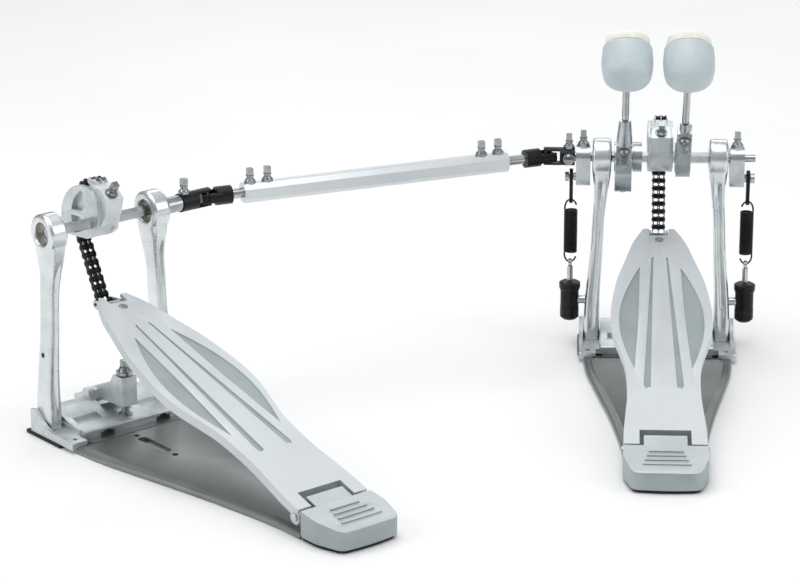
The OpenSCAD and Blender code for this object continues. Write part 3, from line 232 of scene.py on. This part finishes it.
def make_rubber():
    """Moulded rubber: black, matt, with a fine pebble."""
    made, tree, out, where = new_material("rubber, moulded")
    pebble = add(tree, "ShaderNodeTexNoise", {"Scale": 1 / (1.11 * MM), "Detail": 3}, {"Vector": where})
    height = pebble.outputs["Fac"]
    surface(tree, out, {"IOR": 1.52}, (height, "#141414", "#202122"), (height, 0.6, 0.8), (height, 0.6, 0.2))
    return made


def make_shell():
    """Injection moulded ABS of the beater heads: blue grey, smooth, with a faint flow mark."""
    made, tree, out, where = new_material("ABS, moulded")
    flow = add(tree, "ShaderNodeTexNoise", {"Scale": 1 / (22.2 * MM), "Detail": 2, "Distortion": 0.4},
               {"Vector": where})
    fine = add(tree, "ShaderNodeTexNoise", {"Scale": 1 / (0.714 * MM), "Detail": 2}, {"Vector": where})
    surface(tree, out, {"IOR": 1.53}, (flow.outputs["Fac"], "#bdc9cd", "#c6d2d6"),
            (flow.outputs["Fac"], 0.36, 0.46), (fine.outputs["Fac"], 0.35, 0.1))
    return made


def make_felt():
    """Pressed wool felt: cream, matt, with short crossing fibres and soft clumps. Real fibres are
    finer than a pixel, so they are drawn a millimetre or so wide."""
    made, tree, out, where = new_material("wool felt, pressed")
    fibre = add(tree, "ShaderNodeTexNoise",
                {"Scale": 1 / (1.43 * MM), "Detail": 6, "Roughness": 0.7, "Distortion": 1.5},
                {"Vector": where})
    clump = add(tree, "ShaderNodeTexNoise", {"Scale": 1 / (6.25 * MM), "Detail": 4}, {"Vector": where})
    mixed = add(tree, "ShaderNodeMath", links={0: fibre.outputs["Fac"], 1: clump.outputs["Fac"]},
                operation="MULTIPLY")
    surface(tree, out, {"IOR": 1.5, "Sheen Weight": 0.35, "Sheen Roughness": 0.5},
            (mixed.outputs["Value"], "#e6e3d8", "#fdfbf4", (0.08, 0.32)),
            (fibre.outputs["Fac"], 0.85, 1.0), (mixed.outputs["Value"], 0.9, 0.5))
    return made


rubber = make_rubber()
moulded_shell = make_shell()
pressed_felt = make_felt()


# Pieces

# An edge turned by more than this many degrees stays sharp, or is rounded on a CAD node's copy
SHARP_ANGLE, ROUNDED_ANGLE = 38, 34
# Vertices closer than this, in metres, are one, and so are faces turned by less than this in degrees
SAME_POINT, SAME_FACE = 1e-6, 0.6


def as_mesh(shape, name):
    mesh = bpy.data.meshes.new(name)
    shape.to_mesh(mesh)
    shape.free()
    return mesh


def show(name, mesh, materials, node, body=None):
    """Puts a mesh in the scene as the piece that stands for a CAD node."""
    piece = bpy.data.objects.new(name, mesh)
    bpy.context.scene.collection.objects.link(piece)
    for made in materials:
        mesh.materials.append(made)
    mesh.shade_smooth()
    mesh.set_sharp_from_angle(angle=math.radians(SHARP_ANGLE))
    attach(piece, body or body_for[node])
    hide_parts(node)
    return piece


def merged_copy(node):
    """The mesh of a CAD node, merged, with its flat faces made whole."""
    shape = bmesh.new()
    shape.from_mesh(frame["nodes"][node].data)
    bmesh.ops.remove_doubles(shape, verts=shape.verts, dist=2 * SAME_POINT)
    bmesh.ops.dissolve_limit(shape, angle_limit=math.radians(SAME_FACE), verts=shape.verts,
                             edges=shape.edges)
    return shape


def rounded(node, width, materials, segments=2, pick=None):
    """A CAD node with its edges rounded as the real casting or turning has them; pick gives some
    of its faces the second material."""
    shape = merged_copy(node)
    if pick:
        pick(shape)
    piece = show(node + "_dressed", as_mesh(shape, node + "_rounded"), materials, node)
    edge = piece.modifiers.new("rounded edges", "BEVEL")
    edge.width = width * MM
    edge.segments = segments
    edge.limit_method = "ANGLE"
    edge.angle_limit = math.radians(ROUNDED_ANGLE)
    edge.use_clamp_overlap = True
    edge.harden_normals = True
    edge.miter_outer = "MITER_ARC"


for node, made, width in (
        ("main_frame", rough_casting, 0.9), ("slave_frame", rough_casting, 0.9),
        ("main_clamp_jaw", rough_casting, 0.8), ("slave_clamp_jaw", rough_casting, 0.8),
        ("main_clamp_bolt", bolt_steel, 0.4), ("slave_clamp_bolt", bolt_steel, 0.4),
        ("rubber_pads", rubber, 0.6), ("hinge_pins", zinc_steel, 0.5),
        ("axle_bearings", bearing_steel, 0.3),
        ("main_toe_clip", zinc_steel, 0.3), ("slave_toe_clip", zinc_steel, 0.3),
        ("main_shaft", ground_steel, 0.35), ("slave_shaft", ground_steel, 0.35),
        ("second_shaft", ground_steel, 0.5),
        ("main_cam", rough_casting, 0.5), ("slave_cam", rough_casting, 0.5),
        ("main_beater_hub", cast_aluminium, 0.7), ("second_beater_hub", cast_aluminium, 0.7),
        ("main_beater_rod", zinc_steel, 0.6), ("second_beater_rod", zinc_steel, 0.6),
        ("right_rocker", cast_aluminium, 0.9), ("left_rocker", cast_aluminium, 0.9),
        ("right_hook", black_oxide, 0.4), ("left_hook", black_oxide, 0.4),
        ("main_yoke", black_oxide, 0.6), ("slave_yoke", black_oxide, 0.6),
        ("main_cross", black_oxide, 0.4), ("slave_cross", black_oxide, 0.4),
        ("drive_tube", tube_aluminium, 0.5), ("drive_key_bolts", bolt_steel, 0.35),
        ("main_key_bolts", bolt_steel, 0.35), ("second_key_bolts", bolt_steel, 0.35),
        ("slave_key_bolts", bolt_steel, 0.35)):
    rounded(node, width, [made])


# Solids with two finishes: bright rollers between dark chain plates, bright rods between black nuts

# A chain roller is between these lengths along its pin, and an adjuster's rod is under this width
ROLLER_L, ROD_W = (2.6, 4), 10
# How far a face may stand off the surface that it is told by
SLACK = 0.1


def islands(shape):
    """The separate solids of a mesh, as lists of faces."""
    left = set(shape.faces)
    while left:
        found, edge_of = [], [left.pop()]
        while edge_of:
            face = edge_of.pop()
            found.append(face)
            for edge in face.edges:
                for other in edge.link_faces:
                    if other in left:
                        left.discard(other)
                        edge_of.append(other)
        yield found


def chain_colours(place):
    """The rollers of a chain, told from its plates and pins by their length."""
    back = place.inverted()

    def pick(shape):
        for faces in islands(shape):
            across = [(back @ v.co).x for f in faces for v in f.verts]
            wide = max(across) - min(across)
            if ROLLER_L[0] * MM < wide < ROLLER_L[1] * MM:
                for f in faces:
                    f.material_index = 1
    return pick


def thin_bright(shape):
    """The threaded rod of an adjuster keeps its bright zinc between the black nuts."""
    for faces in islands(shape):
        deep = [v.co.y for f in faces for v in f.verts]
        if max(deep) - min(deep) < ROD_W * MM:
            for f in faces:
                f.material_index = 1


def rod_bright(shape):
    """The rods of the drive line keep their bright zinc between the black forks and the tube."""
    start = slave_place @ Vector((SLAVE_JOINT_X * MM, 0, AXLE_H * MM))
    end = Vector((MAIN_JOINT_X * MM, 0, AXLE_H * MM))
    along = (end - start).normalized()
    for f in shape.faces:
        out = max(((v.co - start) - along * along.dot(v.co - start)).length for v in f.verts)
        middle = along.dot(f.calc_center_median() - start)
        if out < (DRIVE_ROD_R + SLACK) * MM and min(middle, (end - start).length - middle) > YOKE_BACK * MM:
            f.material_index = 1


rounded("tube_yokes", 0.6, [black_oxide, zinc_steel], pick=rod_bright)
for side in ("right", "left"):
    rounded(side + "_adjuster", 0.5, [black_oxide, zinc_steel], pick=thin_bright)

for side, place in (("main", main_place), ("slave", slave_place)):
    for part in ("chain_wrap", "chain_free_1", "chain_free_2", "chain_free_3", "chain_run"):
        rounded(side + "_" + part, 0.18, [chain_plate, chain_roller], segments=1, pick=chain_colours(place))


# Footboards: the sunk panels and grooves have their own blasted face, drawn darker, partly its own tone and
# partly painted shade in the recesses

# Upward part of the normal of a panel's bottom, and the least that counts as a heel block's top
FACING_UP, HEEL_UP = 0.9, 0.7


def panel_faces(place):
    """The bottoms of a footboard's sunk panels and grooves, which take the darker blasted face with its
    painted shade.
    """
    board = (place @ Matrix.Translation((0, -HINGE_BACK * MM, HINGE_H * MM))
             @ Matrix.Rotation(math.radians(BOARD_TILT), 4, "X"))
    back = board.inverted()

    def pick(shape):
        shape.normal_update()
        turn = back.to_3x3()
        for f in shape.faces:
            deep = (back @ f.calc_center_median()).z
            low = abs(deep - (BOARD_RISE - TREAD_CUT) * MM) < SLACK * MM
            if low and (turn @ f.normal).z > FACING_UP:
                f.material_index = 1
    return pick


def heel_shaded_sides(shape):
    """The sides of a heel block, all but its top: they take the darker copy of the lacquer, which is painted
    shade.
    """
    shape.normal_update()
    for f in shape.faces:
        if f.normal.z < HEEL_UP:
            f.material_index = 1


# The sunk panels and grooves are drawn darker: partly their blasted finish, partly painted shade
rounded("main_footboard", 0.45, [main_tread, panel_blast_and_shade], segments=3, pick=panel_faces(main_place))
rounded("slave_footboard", 0.45, [slave_tread, panel_blast_and_shade], segments=3, pick=panel_faces(slave_place))
# The heel blocks' sides take the darker lacquer: painted shade
rounded("main_heel_block", 1.2, [heel_lacquer, heel_side_shade], segments=3, pick=heel_shaded_sides)
rounded("slave_heel_block", 1.2, [heel_lacquer, heel_side_shade], segments=3, pick=heel_shaded_sides)


# Base plates: one pressed sheet each, with its edge rolled down and a bead beside it

def catmull(points, steps):
    """A smooth line through the points."""
    line = []
    for i in range(len(points) - 1):
        a, b, c, d = (Vector(points[max(0, min(len(points) - 1, k))]) for k in (i - 1, i, i + 1, i + 2))
        for k in range(steps):
            t = k / steps
            line.append(0.5 * (2 * b + (c - a) * t + (2 * a - 5 * b + 4 * c - d) * t * t
                               + (3 * b - a - 3 * c + d) * t ** 3))
    return line + [Vector(points[-1])]


def arc(x, y, r, start, end, steps):
    """Points on a circle about (x, y), from one angle to the other."""
    angles = [math.radians(start + (end - start) * i / steps) for i in range(steps + 1)]
    return [(x + r * math.cos(a), y + r * math.sin(a)) for a in angles]


def ring_edges(shape, ring):
    """The edges that join a ring of vertices."""
    return [shape.edges.new((a, b)) for a, b in zip(ring, ring[1:] + ring[:1])]


# Right edge of the plate from the frame to the heel, as (x, y)
PLATE_SIDE = catmull([(75.0, -58.3), (71.7, -99), (63.0, -150), (50.85, -220), (42.7, -280), (38.5, -325)], 8)
PLATE_SIDE += [Vector((38.5, -340)), Vector((38.5, -355))]
# Section of the rim, as (distance in from the edge, height): the rolled edge, then the bead
PLATE_RIM = [(0.2, 0.9), (0.0, 2.4), (0.35, 4.0), (1.3, 5.2), (2.8, 5.8), (4.6, 6.0), (6.9, 6.02),
             (7.5, 6.3), (8.2, 6.55), (9.0, 6.55), (9.7, 6.3), (10.3, 6.0)]
PLATE_TOP, PLATE_T = 6.0, 2.3
# The slot and the two anchor holes, all at one x
HOLES_X, SLOT_YS, SLOT_R, ANCHOR_YS, ANCHOR_R = -13, (-79, -116), 5, (-68, -131), 3
# Boxes, as low and high corners, of the tongue under the frame and the tail inside the heel
PLATE_TONGUE = ((-55.6, -59.9, 3.6), (55.6, 5.9, 5.98))
PLATE_TAIL = ((-31.4, -397, 3.6), (31.4, -354.9, 5.98))


def plate_loop(shape, inset, height):
    """The plate's outline, drawn in from its edge, at a height."""
    right = [shape.verts.new(((p.x - inset) * MM, p.y * MM, height * MM)) for p in PLATE_SIDE]
    left = [shape.verts.new((-(p.x - inset) * MM, p.y * MM, height * MM)) for p in reversed(PLATE_SIDE)]
    return ring_edges(shape, right + left)


def hole_loop(shape, points):
    return ring_edges(shape, [shape.verts.new((x * MM, y * MM, PLATE_TOP * MM)) for x, y in points])


def base_plate(side, place):
    """The sheet: its rim from loop to loop, its top round the holes, and then its thickness."""
    shape = bmesh.new()
    loops = [plate_loop(shape, inset, height) for inset, height in PLATE_RIM]
    for lower, upper in zip(loops, loops[1:]):
        bmesh.ops.bridge_loops(shape, edges=lower + upper)
    slot = arc(HOLES_X, SLOT_YS[0], SLOT_R, 0, 180, 16) + arc(HOLES_X, SLOT_YS[1], SLOT_R, 180, 360, 16)
    holes = hole_loop(shape, slot)
    for y in ANCHOR_YS:
        holes += hole_loop(shape, arc(HOLES_X, y, ANCHOR_R, 0, 345, 23))
    bmesh.ops.triangle_fill(shape, use_beauty=True, use_dissolve=False, edges=loops[-1] + holes,
                            normal=(0, 0, 1))
    bmesh.ops.recalc_face_normals(shape, faces=shape.faces)
    flat = max(shape.faces, key=lambda f: f.calc_area())
    if flat.normal.z < 0:
        bmesh.ops.reverse_faces(shape, faces=shape.faces)
    bmesh.ops.solidify(shape, geom=shape.faces[:], thickness=PLATE_T * MM)
    for low, high in (PLATE_TONGUE, PLATE_TAIL):
        made = bmesh.ops.create_cube(shape, size=1)["verts"]
        size = Matrix.Diagonal([(b - a) * MM for a, b in zip(low, high)] + [1])
        middle = Matrix.Translation([(a + b) / 2 * MM for a, b in zip(low, high)])
        bmesh.ops.transform(shape, verts=made, matrix=middle @ size)
    bmesh.ops.transform(shape, matrix=place, verts=shape.verts)
    mesh = as_mesh(shape, side + "_plate")
    show(side + "_pressed_plate", mesh, [dark_nickel], side + "_base_plate")


base_plate("main", main_place)
base_plate("slave", slave_place)


# Posts: each a fluted casting that flows into its round hub

# Half of a post's section, as shares of its width and depth: two lobes with a flute between them
POST_SHAPE = [(0.5, 0.0), (0.495, 0.16), (0.46, 0.32), (0.38, 0.44), (0.27, 0.485), (0.17, 0.45),
              (0.06, 0.36), (-0.08, 0.35), (-0.19, 0.44), (-0.29, 0.48), (-0.4, 0.45), (-0.47, 0.34),
              (-0.5, 0.18), (-0.5, 0.0)]
# Up a post: height, middle, width across the pedal and depth along it
POST_STATIONS = [(8.5, 66.4, 16.5, 26), (24, 66.4, 16.5, 25.5), (46, 66, 15.7, 22.4), (70, 64.6, 14.5, 20.8),
                 (100, 62.4, 13.1, 20), (138, 60.9, 12.5, 20.2), (148, 60.1, 12.9, 20.8),
                 (157, 59.4, 13.5, 22.6), (165, 58.9, 14.5, 25.6), (173, 58.6, 16, 29), (181, 58.5, 18, 32),
                 (189, 58.5, 18.5, 34)]
# The flute starts and ends at these heights, and takes this far to run in and out
FLUTE_LOW, FLUTE_IN, FLUTE_HIGH, FLUTE_OUT = 20, 30, 178, 20
# Inside this share of the width, a post without its flute is this share of its depth
FLUTE_SIDE, FULL_DEPTH = 0.3, 0.48
# Section of the round hub, as (radius, distance from its middle)
HUB_RING = [(11.1, -8.7), (12.0, -9.5), (15.6, -9.5), (17.6, -9.1), (18.7, -8.0), (19, -6.4), (19, 6.4),
            (18.7, 8.0), (17.6, 9.1), (15.6, 9.5), (12.0, 9.5), (11.1, 8.7)]


def post(shape, sign):
    """One post, as sections joined upwards, with its round hub."""
    section = catmull(POST_SHAPE, 2)
    section += [Vector((p.x, -p.y)) for p in reversed(section[1:-1])]
    loops = []
    for height, middle, width, depth in catmull(POST_STATIONS, 3):
        run_in, run_out = (height - FLUTE_LOW) / FLUTE_IN, (FLUTE_HIGH - height) / FLUTE_OUT
        flute = min(1.0, max(0.0, run_in), max(0.0, run_out))
        ring = []
        for p in section:
            filled = math.copysign(abs(p.y) * flute + FULL_DEPTH * (1 - flute), p.y)
            y = p.y if abs(p.x) > FLUTE_SIDE else filled
            ring.append(shape.verts.new((sign * (middle + p.x * width) * MM, y * depth * MM, height * MM)))
        loops.append(ring_edges(shape, ring))
    for lower, upper in zip(loops, loops[1:]):
        bmesh.ops.bridge_loops(shape, edges=lower + upper)
    for loop in (loops[0], loops[-1]):
        bmesh.ops.edgenet_fill(shape, edges=loop)
    ring = [shape.verts.new((sign * (HUB_X + x) * MM, r * MM, AXLE_H * MM)) for r, x in HUB_RING]
    edges = ring_edges(shape, ring)
    bmesh.ops.spin(shape, geom=ring + edges, cent=(0, 0, AXLE_H * MM), axis=(1, 0, 0), angle=2 * math.pi,
                   steps=72, use_merge=True)


def posts(side, place):
    """Both posts of a pedal: their loose shapes are skinned over as one casting and smoothed."""
    shape = bmesh.new()
    for sign in (1, -1):
        post(shape, sign)
    bmesh.ops.remove_doubles(shape, verts=shape.verts, dist=SAME_POINT)
    bmesh.ops.recalc_face_normals(shape, faces=shape.faces)
    bmesh.ops.transform(shape, matrix=place, verts=shape.verts)
    mesh = as_mesh(shape, side + "_posts")
    piece = show(side + "_cast_posts", mesh, [polished_aluminium], side + "_posts")
    skin = piece.modifiers.new("one casting", "REMESH")
    skin.mode = "VOXEL"
    skin.voxel_size = 0.8 * MM
    skin.use_smooth_shade = True
    soft = piece.modifiers.new("tumbled smooth", "SMOOTH")
    soft.factor = 0.5
    soft.iterations = 6


posts("main", main_place)
posts("slave", slave_place)

# The small hole in a slave post's outer face, drawn as a black disc of painted shade, the disc's depth, and
# how far that face leans in there, in degrees
POST_HOLE_X, POST_HOLE_H, POST_HOLE_R, SHADE_DISC_DEPTH, POST_LEAN = 70.65, 81, 2.4, 0.6, 5.5


def hole_shade_disc(side, sign):
    """A flat dark disc in the outer face of a slave post, where the solid has its hole: painted shade that
    stands for the dark inside of the hole.
    """
    shape = bmesh.new()
    lean = Matrix.Rotation(math.radians(sign * (90 - POST_LEAN)), 4, "Y")
    at = Matrix.Translation((sign * POST_HOLE_X * MM, 0, POST_HOLE_H * MM))
    bmesh.ops.create_cone(shape, cap_ends=True, segments=32, radius1=POST_HOLE_R * MM,
                          radius2=POST_HOLE_R * MM, depth=SHADE_DISC_DEPTH * MM, matrix=slave_place @ at @ lean)
    mesh = as_mesh(shape, side + "_hole_shade_disc")
    show(side + "_hole_shade_disc", mesh, [black_oxide], "slave_posts")


def spring_stud(side, sign):
    """The stud that stands out of a main post and carries a spring adjuster."""
    shape = bmesh.new()
    bmesh.ops.create_cone(shape, cap_ends=True, segments=48, radius1=STUD_R * MM, radius2=STUD_R * MM,
                          depth=STUD_L * MM)
    rims = [e for e in shape.edges if e.calc_face_angle(0) > math.radians(SHARP_ANGLE)]
    bmesh.ops.bevel(shape, geom=rims, offset=0.5 * MM, segments=3, affect="EDGES")
    out = Matrix.Translation((sign * STUD_X * MM, 0, STUD_H * MM)) @ Matrix.Rotation(math.pi / 2, 4, "Y")
    bmesh.ops.transform(shape, verts=shape.verts, matrix=out)
    show(side + "_spring_stud", as_mesh(shape, side + "_stud"), [zinc_steel], "main_posts")


# Black discs of painted shade over the holes in the slave posts
hole_shade_disc("inner", 1)
hole_shade_disc("outer", -1)
spring_stud("right", 1)
spring_stud("left", -1)


# Beaters

# Back of a moulded head, as (radius, distance from its hindmost point)
HEAD_BACK = [(0, 0.05), (5, 0.3), (9.5, 0.85), (16.3, 2.9), (20.5, 6.3), (22.4, 9.2), (23.5, 12.7),
             (24.5, 18), (25.1, 25), (24.95, 31), (24.3, 38)]
# Rounded front lip of the head: its radius, and its centre's distance in from the side and the front
LIP_R, LIP_IN, LIP_BACK = 4.1, 5.3, 4.3
# The felt is smaller than the head by this, with a rounded front edge
FELT_IN, FELT_EDGE_R = 3.65, 3


def spun(profile, place, name):
    """A profile of (radius, along) in millimetres, spun about the Y axis and put in place."""
    shape = bmesh.new()
    line = [shape.verts.new((r * MM, y * MM, 0)) for r, y in profile]
    edges = [shape.edges.new(pair) for pair in zip(line, line[1:])]
    bmesh.ops.spin(shape, geom=line + edges, cent=(0, 0, 0), axis=(0, 1, 0), angle=2 * math.pi, steps=96,
                   use_merge=True)
    bmesh.ops.remove_doubles(shape, verts=shape.verts, dist=SAME_POINT)
    bmesh.ops.recalc_face_normals(shape, faces=shape.faces)
    bmesh.ops.transform(shape, matrix=place, verts=shape.verts)
    return as_mesh(shape, name)


def beater(which):
    """A moulded head and its felt, on top of the leaning rod."""
    rod = (Matrix.Translation((0, 0, AXLE_H * MM)) @ Matrix.Rotation(math.radians(BEATER_LEAN), 4, "X")
           @ Matrix.Translation((BEATER_X[which] * MM, -ROD_OFFSET * MM, BEATER_L * MM)))
    place = rod @ Matrix.Rotation(math.radians(HEAD_TILT), 4, "X")
    front = SHELL_L - SHELL_BACK
    shell = [(max(p.x, 0), p.y - SHELL_BACK) for p in catmull(HEAD_BACK, 5)]
    shell += arc(HEAD_R - LIP_IN, front - LIP_BACK, LIP_R, 8, 84, 8) + [(18, front - 0.02), (0, front - 0.02)]
    mesh = spun(shell, place, which + "_shell")
    show(which + "_beater_shell", mesh, [moulded_shell], which + "_beater_head")
    r = HEAD_R - FELT_IN
    felt = [(0, front), (r - 0.3, front), (r, front + 0.8)]
    felt += arc(r - FELT_EDGE_R, front + FELT_T - FELT_EDGE_R - 0.3, FELT_EDGE_R, 0, 80, 8)
    felt += [(r * 0.5, front + FELT_T - 0.1), (0, front + FELT_T)]
    mesh = spun(felt, place, which + "_felt")
    show(which + "_felt_disc", mesh, [pressed_felt], which + "_beater_felt")


beater("main")
beater("second")


# Springs: one wire from the lower loop through the coils to the upper loop

# Height of the end loops above the coils, and points in one turn of the coils
END_LOOP_H, TURN_POINTS = 10.35, 20


def spring_line():
    """The middle of the wire, as (x, y, z) about the spring's own upright line, and the heights
    between which it is coiled."""
    coil = SPRING_R - WIRE_R
    low, high = COIL_LOW + WIRE_R, COIL_LOW + COIL_L - WIRE_R
    loop = []
    for a in range(10, 160, 8):
        # A rounded arch, fuller than a half circle and open at its far end
        rise = math.sin(math.radians(a * 1.02)) ** 0.8
        loop.append((coil * math.cos(math.radians(a)), 0.0, END_LOOP_H * rise))
    points = [(x, y, low - z) for x, y, z in reversed(loop)]
    last = COIL_TURNS * TURN_POINTS
    for i in range(last + 1):
        a = 2 * math.pi * i / TURN_POINTS
        points.append((coil * math.cos(a), coil * math.sin(a), low + (high - low) * i / last))
    return points + [(x, y, high + z) for x, y, z in loop], low, high


def spring(side, sign):
    """A spring that stretches between its adjuster and its hook."""
    points, low, high = spring_line()
    wire = bpy.data.curves.new(side + "_wire", "CURVE")
    wire.dimensions = "3D"
    wire.bevel_depth = WIRE_R * MM
    wire.bevel_resolution = 3
    wire.use_fill_caps = True
    line = wire.splines.new("POLY")
    line.points.add(len(points) - 1)
    for at, (x, y, z) in zip(line.points, points):
        at.co = (sign * (SPRING_X + x) * MM, y * MM, z * MM, 1)
    holder = bpy.data.objects.new(side + "_wire", wire)
    bpy.context.scene.collection.objects.link(holder)
    bpy.context.view_layer.update()
    mesh = bpy.data.meshes.new_from_object(holder.evaluated_get(bpy.context.evaluated_depsgraph_get()))
    bpy.data.objects.remove(holder)
    piece = bpy.data.objects.new(side + "_spring_wire", mesh)
    bpy.context.scene.collection.objects.link(piece)
    mesh.materials.clear()
    mesh.materials.append(black_oxide)
    mesh.shade_smooth()
    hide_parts(side + "_spring")
    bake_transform(piece)


spring("right", 1)
spring("left", -1)


# Studio

# Metres, far past what the camera sees
FLOOR_SIZE = 12
# Patches of the floor's faint tone, in millimetres
FLOOR_PATCH = 333
# The grey that lights the object from the horizon, from a little above it and from overhead
SKY_LOW, SKY_MID, SKY_HIGH = (0.42, 0.43, 0.44, 1), (0.64, 0.65, 0.66, 1), (0.95, 0.96, 0.97, 1)
SKY_MID_AT, SKY_STRENGTH = 0.35, 0.62
# Name, place and size in metres, and power in watts
SOFTBOXES = [("softbox above", (-0.4, -0.2, 2.4), (2.6, 1.6), 31),
             ("softbox left", (-2.6, -1.2, 1.3), (1.0, 1.8), 14),
             ("softbox right", (2.2, -1.0, 1.4), (0.8, 1.8), 12),
             ("softbox behind", (0.2, 2.2, 1.6), (2.4, 0.9), 11)]
LIGHT_AIM = (-0.25, -0.1, 0.1)


def make_floor():
    made, tree, out, where = new_material("studio floor, pale")
    mist = add(tree, "ShaderNodeTexNoise", {"Scale": 1 / (FLOOR_PATCH * MM), "Detail": 2}, {"Vector": where})
    tone = add(tree, "ShaderNodeValToRGB", links={"Fac": mist.outputs["Fac"]})
    two_colours(tone, "#f8f8f8", "#fbfbfb")
    shader = add(tree, "ShaderNodeBsdfPrincipled", {"Roughness": 0.75, "IOR": 1.3},
                 {"Base Color": tone.outputs["Color"]})
    tree.links.new(shader.outputs["BSDF"], out.inputs["Surface"])
    shape = bmesh.new()
    bmesh.ops.create_grid(shape, x_segments=1, y_segments=1, size=FLOOR_SIZE)
    mesh = as_mesh(shape, "floor")
    mesh.materials.append(made)
    floor = bpy.data.objects.new("floor", mesh)
    bpy.context.scene.collection.objects.link(floor)


def make_world():
    """White behind the object, and a soft grey sky for its light and reflections."""
    world = bpy.data.worlds.new("studio")
    bpy.context.scene.world = world
    world.use_nodes = True
    tree = world.node_tree
    tree.nodes.clear()
    path = add(tree, "ShaderNodeLightPath")
    way = add(tree, "ShaderNodeTexCoord")
    split = add(tree, "ShaderNodeSeparateXYZ", links={"Vector": way.outputs["Generated"]})
    sky = add(tree, "ShaderNodeValToRGB", links={"Fac": split.outputs["Z"]})
    sky.color_ramp.elements[0].color = SKY_LOW
    sky.color_ramp.elements[1].color = SKY_HIGH
    sky.color_ramp.elements.new(SKY_MID_AT).color = SKY_MID
    soft = add(tree, "ShaderNodeBackground", {"Strength": SKY_STRENGTH}, {"Color": sky.outputs["Color"]})
    white = add(tree, "ShaderNodeBackground", {"Color": (1, 1, 1, 1), "Strength": 1.0})
    mix = add(tree, "ShaderNodeMixShader", links={
        0: path.outputs["Is Camera Ray"], 1: soft.outputs["Background"], 2: white.outputs["Background"]})
    add(tree, "ShaderNodeOutputWorld", links={"Surface": mix.outputs["Shader"]})


def make_lights():
    for name, at, size, power in SOFTBOXES:
        light = bpy.data.lights.new(name, "AREA")
        light.shape = "RECTANGLE"
        light.size, light.size_y = size
        light.energy = power
        lamp = bpy.data.objects.new(name, light)
        bpy.context.scene.collection.objects.link(lamp)
        lamp.location = at
        lamp.rotation_euler = (Vector(LIGHT_AIM) - Vector(at)).to_track_quat("-Z", "Y").to_euler()


make_floor()
make_world()
make_lights()
